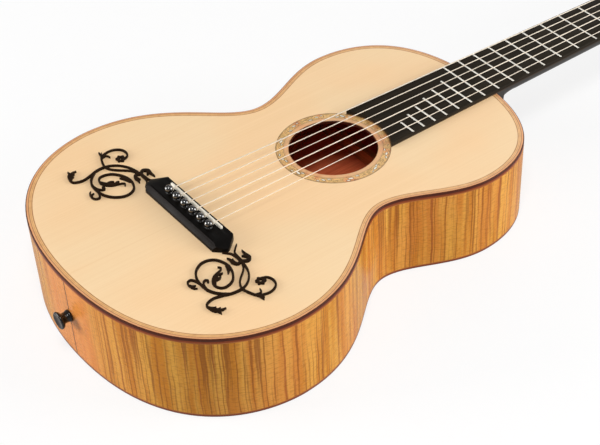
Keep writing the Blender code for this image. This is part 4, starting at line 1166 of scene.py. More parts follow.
@dataclass(frozen=True)
class FretRule(Growth):
    """Bars across the fingerboard by the rule that each is a twelfth root of two nearer to the saddle."""

    name: str = "frets by rule"
    takes: Takes = (
        ("Count", 19), ("Full", 13), ("Scale", SCALE), ("Half at nut", 24.0 * MM),
        ("Half at octave", 29.4 * MM), ("Inset", 0.5 * MM), ("Last start", 13.0 * MM),
        ("Start step", 5.2 * MM), ("Height", 4.2 * MM), ("Half width", 0.38 * MM), ("Tall", 0.9 * MM))

    def wire(self, graph: Graph, given: Outputs) -> Socket:
        """Wires one point for each fret, its place and length, and a bar of half-round section on it."""
        points = graph.node("GeometryNodeMeshLine", {"Count": given["Count"], "Offset": (0, 0, 0)}).outputs[0]
        number = graph.math("ADD", graph.node("GeometryNodeInputIndex").outputs[0], 1.0)
        share = graph.math("POWER", 2.0, graph.math("DIVIDE", number, -12.0))
        y = graph.times(given["Scale"], share)
        gain = graph.times(graph.math("SUBTRACT", given["Half at octave"], given["Half at nut"]), 2.0)
        half = graph.math("MULTIPLY_ADD", graph.math("SUBTRACT", 1.0, share), gain, given["Half at nut"])
        high = graph.math("SUBTRACT", half, given["Inset"])
        left = graph.math("SUBTRACT", given["Count"], number)
        short = graph.math("SUBTRACT", given["Last start"], graph.times(given["Start step"], left))
        is_short = graph.math("GREATER_THAN", number, graph.math("ADD", given["Full"], 0.5))
        full = graph.times(high, -1.0)
        low = graph.math("MULTIPLY_ADD", is_short, graph.math("SUBTRACT", short, full), full)
        middle = graph.times(graph.math("ADD", low, high), 0.5)
        spot = graph.combine(middle, y, given["Height"])
        placed = graph.node("GeometryNodeSetPosition", {"Geometry": points, "Position": spot}).outputs[0]
        ends = {"Start": (-0.5, 0, 0), "End": (0.5, 0, 0)}
        unit = graph.node("GeometryNodeCurvePrimitiveLine", ends).outputs[0]
        size = graph.combine(graph.math("SUBTRACT", high, low), 1.0, 1.0)
        bars = {"Points": placed, "Instance": unit, "Scale": size}
        lines = graph.node("GeometryNodeInstanceOnPoints", bars).outputs[0]
        real = graph.node("GeometryNodeRealizeInstances", {0: lines}).outputs[0]
        ring = graph.node("GeometryNodeCurvePrimitiveCircle", {"Resolution": 16, "Radius": 1.0}).outputs[0]
        flat = graph.combine(given["Tall"], given["Half width"], 1.0)
        profile = graph.node("GeometryNodeTransform", {"Geometry": ring, "Scale": flat}).outputs[0]
        swept = {"Curve": real, "Profile Curve": profile, "Fill Caps": True}
        return graph.node("GeometryNodeCurveToMesh", swept).outputs[0]


@dataclass(frozen=True)
class InlayRing(Growth):
    """Small flat slips set round a circle, each a little out of line."""

    name: str = "ring of inlays"
    takes: Takes = (
        ("Count", 12), ("Start", 0.0), ("Radius", 47.0 * MM), ("Middle", HOLE_Y), ("Height", 0.0),
        ("Long", 2.0 * MM), ("Broad", 1.0 * MM), ("Thick", 0.4 * MM), ("Corners", 6), ("Stray", 0.6 * MM),
        ("Sway", 0.1), ("Turn", 0.6), ("Seed", 1))

    def wire(self, graph: Graph, given: Outputs) -> Socket:
        """Wires the places on the circle, their strays, and a slip on each."""
        index = graph.node("GeometryNodeInputIndex").outputs[0]
        strays = []
        for shift in range(4):
            seed = graph.math("MULTIPLY_ADD", given["Seed"], 4.0, float(shift))
            draw = {2: -1.0, 3: 1.0, "ID": index, "Seed": seed}
            strays.append(graph.node("FunctionNodeRandomValue", draw, data_type="FLOAT").outputs[1])
        part = graph.math("DIVIDE", index, given["Count"])
        angle = graph.math("MULTIPLY_ADD", part, math.tau, given["Start"])
        angle = graph.math("MULTIPLY_ADD", strays[0], given["Sway"], angle)
        radius = graph.math("MULTIPLY_ADD", strays[1], given["Stray"], given["Radius"])
        x = graph.times(radius, graph.math("COSINE", angle))
        y = graph.math("MULTIPLY_ADD", radius, graph.math("SINE", angle), given["Middle"])
        points = graph.node("GeometryNodeMeshLine", {"Count": given["Count"], "Offset": (0, 0, 0)}).outputs[0]
        spots = {"Geometry": points, "Position": graph.combine(x, y, given["Height"])}
        placed = graph.node("GeometryNodeSetPosition", spots).outputs[0]
        prism = {"Vertices": given["Corners"], "Radius": 0.5, "Depth": 1.0}
        slip = graph.node("GeometryNodeMeshCylinder", prism).outputs[0]
        turned = graph.combine(0.0, 0.0, graph.math("MULTIPLY_ADD", strays[2], given["Turn"], angle))
        grown = graph.math("MULTIPLY_ADD", strays[3], 0.25, 1.0)
        broad, long = graph.times(given["Broad"], grown), graph.times(given["Long"], grown)
        size = graph.combine(broad, long, given["Thick"])
        slips = {"Points": placed, "Instance": slip, "Rotation": turned, "Scale": size}
        return graph.node("GeometryNodeInstanceOnPoints", slips).outputs[0]


@dataclass(frozen=True)
class RoundSweep(Growth):
    """A round strand along a line of edges. It keeps the length along the strand as the attribute along."""

    name: str = "strand along a line"
    takes: Takes = (("Wide", 1.0 * MM), ("Sides", 12))

    def wire(self, graph: Graph, given: Outputs) -> Socket:
        """Wires the line, the length along it, and a round section swept over it."""
        line = graph.node("GeometryNodeMeshToCurve", {0: given["Geometry"]}).outputs[0]
        length = graph.node("GeometryNodeSplineParameter").outputs["Length"]
        marks = {"Geometry": line, "Name": "along", "Value": length}
        marked = graph.node("GeometryNodeStoreNamedAttribute", marks, data_type="FLOAT",
                            domain="POINT").outputs[0]
        section = {"Resolution": given["Sides"], "Radius": graph.times(given["Wide"], 0.5)}
        ring = graph.node("GeometryNodeCurvePrimitiveCircle", section).outputs[0]
        swept = {"Curve": marked, "Profile Curve": ring, "Fill Caps": True}
        return graph.node("GeometryNodeCurveToMesh", swept).outputs[0]


FRET_RULE, INLAY_RING, ROUND_SWEEP = FretRule(), InlayRing(), RoundSweep()


def line_mesh(points: Sequence[Sequence[float]]) -> bpy.types.Mesh:
    """A mesh of edges through the points, for a sweep."""
    mesh = bpy.data.meshes.new("line")
    mesh.from_pydata([tuple(p) for p in points], [(i, i + 1) for i in range(len(points) - 1)], [])
    return mesh


def string_x(number: int, half: float) -> float:
    """Place of string 1 to 6 across strings that spread half to each side, the first on the treble side."""
    return half * (1 - 2 * (number - 1) / 5)


@dataclass
class BodyShape:
    """The waisted outline of the body, seen from above."""

    tail_y: float = -127.5 * MM
    lower: Pair = (154.4 * MM, -9.3 * MM)
    waist: Pair = (90.0 * MM, 127.6 * MM)
    upper: Pair = (119.2 * MM, 221.3 * MM)
    neck_y: float = 314.5 * MM
    tail_reach: float = 144.1 * MM
    lower_tail_reach: float = 21.5 * MM
    lower_waist_reach: float = 77.7 * MM
    waist_lower_reach: float = 34.7 * MM
    waist_upper_reach: float = 27.6 * MM
    upper_waist_reach: float = 38.3 * MM
    upper_neck_reach: float = 31.1 * MM
    neck_reach: float = 106.2 * MM
    steps: int = 36

    def half(self) -> list[Vector]:
        """The treble half, from the tail to the neck.

        Returns:
            Its points.
        """
        (lx, ly), (wx, wy), (ux, uy) = self.lower, self.waist, self.upper
        spans = (
            ((0, self.tail_y), (self.tail_reach, self.tail_y), (lx, ly - self.lower_tail_reach), (lx, ly)),
            ((lx, ly), (lx, ly + self.lower_waist_reach), (wx, wy - self.waist_lower_reach), (wx, wy)),
            ((wx, wy), (wx, wy + self.waist_upper_reach), (ux, uy - self.upper_waist_reach), (ux, uy)),
            ((ux, uy), (ux, uy + self.upper_neck_reach), (self.neck_reach, self.neck_y), (0, self.neck_y)))
        return [point for span in spans for point in bezier(span, self.steps)] + [Vector((0, self.neck_y))]

    def outline(self, inward: float = 0.0) -> Outline:
        """The whole outline, drawn in by a distance."""
        return Outline(tuple(mirrored(self.half()).shifted(inward)))

    def side(self, side: Side, neck_gap: float) -> Outline:
        """One side of the outline, from the tail to a gap for the neck's tenon, with its inside on the left.

        Args:
            side: which side.
            neck_gap: how far from the middle it stops at the neck.

        Returns:
            The line of that side, which isn't closed.
        """
        half = self.half()
        kept = [p for i, p in enumerate(half) if p.x >= neck_gap or i < len(half) // 2]
        kept.append(Vector((neck_gap, self.neck_y)))
        if side is Side.TREBLE:
            return Outline(tuple(kept), False)
        return Outline(tuple(Vector((-p.x, p.y)) for p in reversed(kept)), False)


def under_top(depth: float) -> Callable[[float], float]:
    """The height above the floor of the plane that lies depth under the soundboard's upper face."""
    return lambda y: DEPTH - y * math.tan(TAPER) - depth / math.cos(TAPER)


@dataclass
class Soundbox:
    """Soundboard, edge lines, bindings, ribs and back, and the finish of what is glued inside them."""

    shape: BodyShape
    rib_thick: float = 2.1 * MM
    back_thick: float = 2.5 * MM
    neck_gap: float = 9.3 * MM
    edge_round: float = 0.9 * MM
    tail_line: float = 1.0 * MM
    tail_gap: float = 6.4 * MM

    def build(self) -> None:
        """Builds every piece of the box."""
        self.soundboard()
        self.edge_lines()
        self.bindings()
        for side in Side:
            self.rib(side)
        self.tail_strip()
        self.back()
        self.inner_pieces()

    def soundboard(self) -> None:
        """The top, with the steps that hold the edge lines and the rosette, and its seven holes."""
        edge = self.shape.outline(BINDING_WIDE)
        step = PURFLING_WIDE
        outside = edge.rim([(0, -TOP_THICK), (0, -INLAY_DEEP), (step, -INLAY_DEEP), (step, 0)])
        ring = circle(HOLE_RADIUS, 0, HOLE_Y, 128, hole=True)
        wide = ROSETTE_RADIUS - HOLE_RADIUS
        hole = ring.rim([(0, -TOP_THICK), (0, -INLAY_DEEP), (wide, -INLAY_DEEP), (wide, 0)])
        pins = [circle(PIN_RADIUS + 4 * GAP, string_x(n, STRINGS_HALF_SADDLE), PIN_Y, 20, hole=True).rim(
            [(0, -TOP_THICK), (0, 0)]) for n in range(1, 7)]
        bm = stacked([outside, hole, *pins])
        for face in bm.faces:
            middle = face.calc_center_median()
            reach = math.hypot(middle.x, middle.y - HOLE_Y)
            face.material_index = int(reach < HOLE_RADIUS + 0.2 * MM)
        set_out("soundboard_spruce", bm, TOP, [SPRUCE, HOLE_EDGE], GUITAR, ["soundboard"], None)

    def edge_lines(self) -> None:
        """The striped lines inside the binding."""
        path = self.shape.outline(BINDING_WIDE)
        loose = 0.02 * MM
        wide = PURFLING_WIDE - loose
        section = ((loose, -INLAY_DEEP), (loose, 0), (wide, 0), (wide, -INLAY_DEEP))
        bm = banded(path, lambda y: section)
        set_out("edge_line_inlay", bm, TOP, [EDGE_LINES], GUITAR, ["top_purfling"])

    def bindings(self) -> None:
        """The bindings along the top and the back, with rounded outer edges; their sides carry painted shade
        along those edges.
        """
        path = self.shape.outline()
        r, w, h = self.edge_round, BINDING_WIDE, TOP_BINDING_TALL
        upper = ((0, -h), (0, -r), (0.3 * r, -0.3 * r), (r, 0), (w, 0), (w, -h))
        bm = banded(path, lambda y: upper)
        for face in bm.faces:
            # the upper face takes the lighter finish, the rest the side finish with its painted shade
            face.material_index = int(face.material_index == 3)
        set_out("top_edge_binding", bm, TOP, [SHADED_BINDING_SIDE, BINDING_FACE], GUITAR,
                ["top_binding"])
        r, h = 0.6 * r, BACK_BINDING_TALL
        lower = ((0, h), (0, r), (0.3 * r, 0.3 * r), (r, 0), (w, 0), (w, h))
        bm = banded(path, lambda y: lower)
        set_out("back_edge_binding", bm, WORLD, [SHADED_BINDING_SIDE], GUITAR, ["back_binding"])

    def rib(self, side: Side) -> None:
        """One bent side, from the tail to the neck, with its half of the end pin's hole.

        Args:
            side: which side.
        """
        high = under_top(TOP_BINDING_TALL)
        low, thick = BACK_BINDING_TALL, self.rib_thick
        path = self.shape.side(side, self.neck_gap)
        bm = banded(path, lambda y: ((0, low), (0, high(y)), (thick, high(y)), (thick, low)))
        grain = bm.loops.layers.uv["grain"]
        if side is Side.BASS:
            ends = max(corner[grain].uv.x for face in bm.faces for corner in face.loops)
            for face in bm.faces:
                for corner in face.loops:
                    corner[grain].uv.x -= ends
        hole = drill(END_PIN_SHANK + GAP, 30 * MM, 32)
        hole.transform(Matrix.Translation((0, self.shape.tail_y, END_PIN_Z)) @ LYING)
        name = side.name.lower()
        bm = carved(bm, [(Joining.CUT, hole)])
        grain = bm.loops.layers.uv["grain"]
        for face in bm.faces:
            around = sum(corner[grain].uv.y for corner in face.loops) / len(face.loops)
            face.material_index = int(around > high(face.calc_center_median().y) - low + thick)
        set_out(f"{name}_side", bm, WORLD, [RIB_WOOD, INSIDE_RED], GUITAR, [f"rib_{name}"])

    def tail_strip(self) -> None:
        """The thin dark strip where the two ribs meet at the tail, above and below the end pin."""
        y, half = self.shape.tail_y, self.tail_line / 2
        high = under_top(TOP_BINDING_TALL)(y)
        spans = ((BACK_BINDING_TALL, END_PIN_Z - self.tail_gap), (END_PIN_Z + self.tail_gap, high))
        bm = blocks(((-half, y - 0.03 * MM, low), (half, y + 0.5 * MM, top)) for low, top in spans)
        set_out("tail_strip", bm, WORLD, [TAIL_LINE], GUITAR)

    def back(self) -> None:
        """The back: figured wood below, its plain reddish face inside."""
        edge = self.shape.outline(BINDING_WIDE)
        bm = stacked([edge.rim([(0, 0), (0, self.back_thick)])])
        for face in bm.faces:
            face.material_index = int(face.calc_center_median().z > self.back_thick * 0.9)
        set_out("back_plate", bm, WORLD, [BACK_WOOD, INSIDE_RED], GUITAR, ["back"], None)

    def inner_pieces(self) -> None:
        """The finish of blocks, linings, braces and bridge plate, which keep their solids' shape."""
        for name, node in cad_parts.items():
            if "lining" in name:
                node.material_slots[0].material = LINING_WOOD.material()
            elif "brace" in name or "block" in name or name == "bridge_plate":
                node.material_slots[0].material = BLOCK_WOOD.material()


@dataclass
class Rosette:
    """The ring round the soundhole, with its clusters of pearl chips between dark slips."""

    clusters: int = 12
    first: float = 0.2
    lift: float = 0.06 * MM
    chip: float = 0.4 * MM

    def build(self) -> None:
        """Builds the ring and its inlays."""
        path = circle(ROSETTE_RADIUS - 0.03 * MM, 0, HOLE_Y, 160)
        wide = ROSETTE_RADIUS - HOLE_RADIUS
        bm = banded(path, lambda y: ((0, 0), (wide - 0.2 * MM, 0), (wide, -0.2 * MM), (wide, -INLAY_DEEP),
                                     (0, -INLAY_DEEP)))
        for face in bm.faces:
            face.material_index = int(face.material_index == 2)
        set_out("rosette_ring", bm, TOP, [BURL, HOLE_EDGE], GUITAR, ["rosette"])
        chips = ((46.9, 0.0, 4.4, 1.8, 6), (45.4, 0.105, 3.2, 1.2, 6), (48.4, -0.1, 3.0, 1.1, 6))
        self.ring("rosette_pearl_chips", chips, 1, PEARL, 0.5, self.lift)
        beds = tuple((radius, angle, long + 0.9, broad + 0.8, corners)
                     for radius, angle, long, broad, corners in chips)
        self.ring("rosette_chip_beds", beds, 1, CHIP_LINE, 0.5, self.lift / 2)
        slips = ((46.7, 0.16, 0.5, 3.4, 4), (46.9, -0.14, 0.45, 3.2, 4), (44.9, -0.03, 3.0, 0.45, 4),
                 (49.2, 0.04, 3.6, 0.45, 4), (47.4, 0.24, 4.0, 0.4, 4))
        self.ring("rosette_dark_slips", slips, 20, CHIP_LINE, 0.25, self.lift / 4)

    def ring(self, name: str, slips: Sequence[tuple[float, float, float, float, int]], seed: int,
             finish: Finish, turn: float, lift: float) -> None:
        """One object of inlays: for each kind of slip, one at every cluster.

        Args:
            name: the piece's name.
            slips: for each kind its radius, its angle from the cluster's middle, its size along the ring and
                across it, and how many corners it has. Lengths are in millimetres.
            seed: the seed of the first kind.
            finish: their finish.
            turn: how far a slip may turn, in radians.
            lift: how far they stand out of the ring.
        """
        joined = bmesh.new()
        for order, (radius, angle, long, broad, corners) in enumerate(slips):
            values = {"Count": self.clusters, "Start": self.first + angle, "Radius": radius * MM,
                      "Middle": HOLE_Y, "Height": lift - self.chip / 2, "Long": long * MM,
                      "Broad": broad * MM, "Thick": self.chip, "Corners": corners, "Stray": 0.4 * MM,
                      "Sway": 0.03, "Turn": turn, "Seed": seed + order}
            part = INLAY_RING.grow(bpy.data.meshes.new("empty"), values, finish)
            mesh = mesh_of("part", part)
            joined.from_mesh(mesh)
            bpy.data.meshes.remove(mesh)
        under_board = [v for v in joined.verts if v.co.y > HOLE_Y + 41 * MM and abs(v.co.x) < 30 * MM]
        hidden = {face for vert in under_board for face in vert.link_faces}
        islands = {v for face in hidden for v in linked(face)}
        bmesh.ops.delete(joined, geom=list(islands), context="VERTS")
        set_out(name, joined, TOP, [finish], GUITAR)


def linked(face: bmesh.types.BMFace) -> set[bmesh.types.BMVert]:
    """Every corner of the small solid that a face belongs to.

    Args:
        face: one of its faces.

    Returns:
        Its corners.
    """
    found: set[bmesh.types.BMVert] = set()
    waiting = list(face.verts)
    while waiting:
        vert = waiting.pop()
        if vert not in found:
            found.add(vert)
            waiting += [edge.other_vert(vert) for edge in vert.link_edges]
    return found


@dataclass
class Neck:
    """Fingerboard, frets, neck with its heel, heel cap, headstock and nut."""

    shape: BodyShape
    half_nut: float = 24.0 * MM
    half_octave: float = 29.4 * MM
    board_thick: float = 4.2 * MM
    board_reflection_band: float = 1.1 * MM
    depth_nut: float = 14.5 * MM
    depth_heel: float = 16.5 * MM
    sides: int = 36
    flat: float = 1.5 * MM
    throat: float = 8.0 * MM
    shoulder: float = 30.0 * MM
    fall: float = 1.05
    heel_fall: float = 1.9
    heel_curve: float = 18.0 * MM
    heel_foot: float = 8.0 * MM
    heel_tip: float = 6.0 * MM
    heel_body: float = 11.0 * MM
    cap_thick: float = 3.0 * MM
    tenon: tuple[float, float, float, float] = (9.0 * MM, 24.0 * MM, 8.0 * MM, 9.0 * MM)
    head_thick: float = 14.0 * MM
    head_half: tuple[Pair, ...] = (
        (24, 0), (26, 9), (31.5, 22), (34.5, 37), (33.5, 53), (30.7, 70), (32, 86), (36.5, 102), (37.5, 117),
        (33.5, 131), (25.5, 138), (15.5, 139.5), (8.5, 143), (5, 149), (0, 151))
    peg_x: float = 22.0 * MM
    peg_rows: tuple[float, float, float] = (36 * MM, 73 * MM, 111 * MM)
    peg_hole: float = 3.96 * MM
    string_at_nut: float = 5.9 * MM

    def build(self) -> None:
        """Builds every piece of the neck."""
        self.fingerboard()
        self.frets()
        self.neck()
        self.heel_cap()
        self.headstock()
        self.nut()

    def board_half(self, y: float) -> float:
        """Half the fingerboard's width at this distance from the saddle."""
        return self.half_nut + (self.half_octave - self.half_nut) * (SCALE - y) / (SCALE / 2)

    def fingerboard(self) -> None:
        """The board, its lower end cut to the rosette's circle, with softened upper edges and a brown band
        along its lower edge that is painted reflection of the spruce top.
        """
        radius = ROSETTE_RADIUS
        corner = HOLE_Y + radius / 2
        for _ in range(20):
            corner = HOLE_Y + math.sqrt(radius ** 2 - self.board_half(corner) ** 2)
        start = math.atan2(corner - HOLE_Y, self.board_half(corner))
        steps = 40
        sweep = [start + (math.pi - 2 * start) * i / steps for i in range(steps + 1)]
        arc = [Vector((radius * math.cos(a), HOLE_Y + radius * math.sin(a))) for a in sweep]
        ends = [Vector((-self.half_nut, SCALE)), Vector((self.half_nut, SCALE))]
        board = Outline(tuple(reversed(arc + ends)))
        soft, top, seam = 0.3 * MM, self.board_thick, self.board_reflection_band
        levels = [(0, 0), (0, seam), (0, top - soft), (0.3 * soft, top - 0.3 * soft), (soft, top)]
        bm = stacked([board.rim(levels)])
        # the faces below the band's top get the painted reflection
        for face in bm.faces:
            face.material_index = int(face.calc_center_median().z < seam)
        set_out("ebony_fingerboard", bm, TOP, [EBONY, BOARD_EDGE_REFLECTION], GUITAR, ["fingerboard"], None)

    def frets(self) -> None:
        """The nineteen fret bars, by their rule."""
        values = {"Half at nut": self.half_nut, "Half at octave": self.half_octave,
                  "Height": self.board_thick}
        bm = FRET_RULE.grow(bpy.data.meshes.new("empty"), values, FRET_METAL)
        set_out("fret_bars", bm, TOP, [FRET_METAL], GUITAR)

    def section(self, y: float, depth: float, foot: float, fall: float, lean: float = 0.0) -> list[Vector]:
        """One cross-section of the neck, from its treble edge round below to its bass edge.

        Args:
            y: where it is.
            depth: how deep it is.
            foot: half the flat stretch at its deepest.
            fall: how soon it narrows.
            lean: how far its plane is tilted.

        Returns:
            Its points.
        """
        wide = self.board_half(min(y, SCALE))
        half = []
        for i in range(self.sides // 2 + 1):
            turn = math.pi * i / self.sides
            x = foot + (wide - foot) * max(math.cos(turn), 0) ** fall
            down = depth * math.sin(turn)
            half.append(Vector((x, y - down * math.sin(lean), -down * math.cos(lean))))
        return half + [Vector((-p.x, p.y, p.z)) for p in reversed(half)]

    def heel_depth(self, y: float) -> float:
        """Depth of the heel in the top's frame, down to the heel cap."""
        return (DEPTH - self.cap_thick - 0.02 * MM) / math.cos(TAPER) - y * math.tan(TAPER)

    def neck(self) -> None:
        """Neck, heel and tenon, lofted along the neck and cut to the body's outline."""
        end = SCALE + NUT_THICK + GAP
        heel_start = self.shape.neck_y + self.heel_foot + self.heel_curve
        rings = [self.section(end, self.head_thick, self.flat, 0.3, HEAD_TILT)]
        for i in range(1, 8):
            t = i / 8
            y = end + (SCALE - self.throat - end) * t
            depth = self.head_thick + (self.depth_nut - self.head_thick) * t
            rings.append(self.section(y, depth, self.flat, 0.3 + 0.2 * t, HEAD_TILT * (1 - t) ** 2))
        for i in range(9):
            t = i / 8
            y = SCALE - self.throat - (self.shoulder - self.throat) * t
            rings.append(self.section(y, self.depth_nut, self.flat, 0.5 + 0.45 * t))
        for i in range(1, 13):
            t = i / 12
            y = SCALE - self.shoulder + (heel_start - SCALE + self.shoulder) * t
            depth = self.depth_nut + (self.depth_heel - self.depth_nut) * t
            rings.append(self.section(y, depth, self.flat, self.fall - 0.1 * (1 - t) ** 3))
        for i in range(1, 29):
            t = i / 28
            turn = math.pi / 2 * t
            depth = self.depth_heel + self.heel_curve * (1 - math.cos(turn))
            foot = self.flat + (self.heel_tip - self.flat) * t ** 2
            fall = self.fall + (self.heel_fall - self.fall) * t
            rings.append(self.section(heel_start - self.heel_curve * math.sin(turn), depth, foot, fall))
        for y, foot in ((heel_start - self.heel_curve - 0.4 * MM, self.heel_tip),
                        (self.shape.neck_y - 4 * MM, self.heel_body)):
            rings.append(self.section(y, self.heel_depth(y), foot, self.heel_fall))
        box = stacked([self.shape.outline().rim([(0, -DEPTH), (0, 3 * DEPTH)])])
        box.transform(TOP.inverted())
        half, deep, top, foot = self.tenon
        low = -(DEPTH - self.shape.neck_y * math.tan(TAPER)) + foot + 2.5 * MM
        y = self.shape.neck_y
        tenon = blocks([((-half, y - deep, low), (half, y + 2 * MM, -top))])
        bm = carved(lofted(rings), [(Joining.CUT, box), (Joining.ADD, tenon)])
        set_out("black_neck", bm, TOP, [NECK_BLACK], GUITAR, ["neck"])

    def heel_cap(self) -> None:
        """The small plate that closes the heel, flush with the back."""
        tip_y = self.shape.neck_y + self.heel_foot
        tip = TOP @ Vector((0, tip_y, -self.heel_depth(tip_y)))
        corners = [(-self.heel_body, self.shape.neck_y), (self.heel_body, self.shape.neck_y),
                   (self.heel_tip, tip.y), (-self.heel_tip, tip.y)]
        cap = Outline(tuple(Vector(c) for c in corners))
        soft = 0.3 * MM
        bm = stacked([cap.rim([(soft, 0), (0, soft), (0, self.cap_thick)])])
        set_out("heel_plate", bm, WORLD, [NECK_BLACK], GUITAR, ["heel_cap"], None)

    def headstock(self) -> None:
        """The flat headstock with softened edges and six peg holes."""
        half = smooth_line([(x * MM, y * MM) for x, y in self.head_half], 8)
        soft, deep = 0.7 * MM, self.head_thick
        levels = [(soft, -deep), (0.3 * soft, -deep + 0.3 * soft), (0, -deep + soft), (0, -soft),
                  (0.3 * soft, -0.3 * soft), (soft, 0)]
        rims = [mirrored(half).rim(levels)]
        ease = 0.3 * MM
        for side in Side:
            for row in self.peg_rows:
                ring = circle(self.peg_hole, side.value * self.peg_x, row, 32, hole=True)
                rims.append(ring.rim([(-ease, -deep), (0, -deep + ease), (0, -ease), (-ease, 0)]))
        bm = stacked(rims)
        set_out("flat_headstock", bm, HEAD, [NECK_BLACK], GUITAR, ["headstock"], None)

    def nut(self) -> None:
        """The nut, rounded above, with a slot for each string."""
        w, y, z = self.half_nut, SCALE, self.string_at_nut
        base = blocks([((-w, y, 0), (w, y + NUT_THICK, z))])
        slots = []
        for number, wide in enumerate(STRING_WIDE, 1):
            slot = drill(wide / 2 + GAP, 8 * MM, 16)
            middle = (string_x(number, STRINGS_HALF_NUT), y + NUT_THICK / 2, z)
            slot.transform(Matrix.Translation(middle) @ LYING)
            slots.append((Joining.CUT, slot))
        set_out("bone_nut", carved(base, slots, 0.25 * MM), TOP, [BONE], GUITAR, ["nut"])


@dataclass
class Bridge:
    """The pin bridge with its tapered ends, and its saddle."""

    tall: float = 6.7 * MM
    end: tuple[Pair, ...] = (
        (-9.3, 12.0), (-6.9, 9.4), (-3.3, 5.3), (-0.6, 1.8), (0, 0), (-1.5, -3.0), (-4.4, -6.4),
        (-8.0, -10.0))
    rear: Pair = (-18.5 * MM, 2.2 * MM)
    rear_crest: float = -15.0 * MM
    end_crest: float = 47.0 * MM
    end_tall: float = 3.4 * MM
    saddle_half: float = 37.0 * MM
    saddle_thick: float = 2.4 * MM
    saddle_top: float = 9.2 * MM
    slot_deep: float = 3.6 * MM
    line_wide: float = 0.6 * MM
    line_deep: float = 0.5 * MM
    hole_front: float = 2.4 * MM

    @property
    def high(self) -> float:
        """The bridge's flat top in the top's frame."""
        return GAP + self.tall

    def build(self) -> None:
        """Builds bridge and saddle."""
        self.bridge()
        self.saddle()

    def wedge(self, crest: Pair, foot: Pair, turn: float) -> BMesh:
        """A cutter that takes off all above a slope.

        Args:
            crest: where the slope starts, as the distance out and the height.
            foot: where it ends.
            turn: the way that it falls, as an angle about Z from -Y.

        Returns:
            The cutter.
        """
        run, fall = foot[0] - crest[0], foot[1] - crest[1]
        start, end = crest[0] - 0.02 * run, foot[0] + 0.5 * run
        profile = [(start, crest[1] - 0.02 * fall), (end, foot[1] + 0.5 * fall), (end, 40 * MM),
                   (start, 40 * MM)]
        bm = lofted([[Vector((x, -out, z)) for out, z in profile] for x in (-0.2, 0.2)])
        bm.transform(Matrix.Rotation(turn, 4, "Z"))
        return bm

    def bridge(self) -> None:
        """The body of the bridge."""
        half = smooth_line([(BRIDGE_TIP_X + x * MM, BRIDGE_TIP_Y + y * MM) for x, y in self.end[::-1]], 4)
        body = stacked([mirrored(half).rim([(0, 0.02 * MM), (0, self.high)])])
        rear_y, rear_z = self.rear
        steps = [(Joining.CUT, self.wedge((-self.rear_crest, self.high), (-rear_y, GAP + rear_z), 0.0))]
        crest, foot = (self.end_crest, self.high), (BRIDGE_TIP_X, GAP + self.end_tall)
        for side in Side:
            steps.append((Joining.CUT, self.wedge(crest, foot, side.value * math.pi / 2)))
        slot = self.saddle_thick / 2 + 0.05 * MM
        seat = stadium(self.saddle_half - slot, slot, 12)
        steps.append((Joining.CUT, stacked([seat.rim([(0, self.high - self.slot_deep), (0, 0.04)])])))
        line_y = self.rear_crest + 0.4 * MM
        reach = self.end_crest - 1.5 * MM
        steps.append((Joining.CUT, blocks([((-reach, line_y, self.high - self.line_deep),
                                            (reach, line_y + self.line_wide, 0.04))])))
        wide = max(STRING_WIDE) / 2 + GAP
        front = self.hole_front + wide
        for number in range(1, 7):
            x = string_x(number, STRINGS_HALF_SADDLE)
            hole = drill(PIN_RADIUS + GAP, 30 * MM, 28)
            hole.transform(Matrix.Translation((x, PIN_Y, 0)))
            notch = blocks([((x - wide, PIN_Y, -30 * MM), (x + wide, PIN_Y + front, 30 * MM))])
            steps += [(Joining.CUT, hole), (Joining.CUT, notch)]
        bm = carved(body, steps, 0.22 * MM)
        bm.normal_update()
        for face in bm.faces:
            face.material_index = int(face.normal.y < -0.4 and face.calc_center_median().y < self.rear_crest)
        set_out("pin_bridge", bm, TOP, [BRIDGE_BLACK, BRIDGE_WORN], GUITAR, ["bridge"])

    def saddle(self) -> None:
        """The bone saddle, rounded at its ends and crowned."""
        half = self.saddle_thick / 2
        top, low = self.saddle_top, self.high - self.slot_deep + 0.05 * MM
        levels = [(0, low), (0, top - 0.9 * MM), (0.12 * MM, top - 0.45 * MM), (0.4 * MM, top - 0.15 * MM),
                  (0.8 * MM, top)]
        bm = stacked([stadium(self.saddle_half - half, half, 18).rim(levels)])
        set_out("bone_saddle", bm, TOP, [BONE], GUITAR, ["saddle"], None)


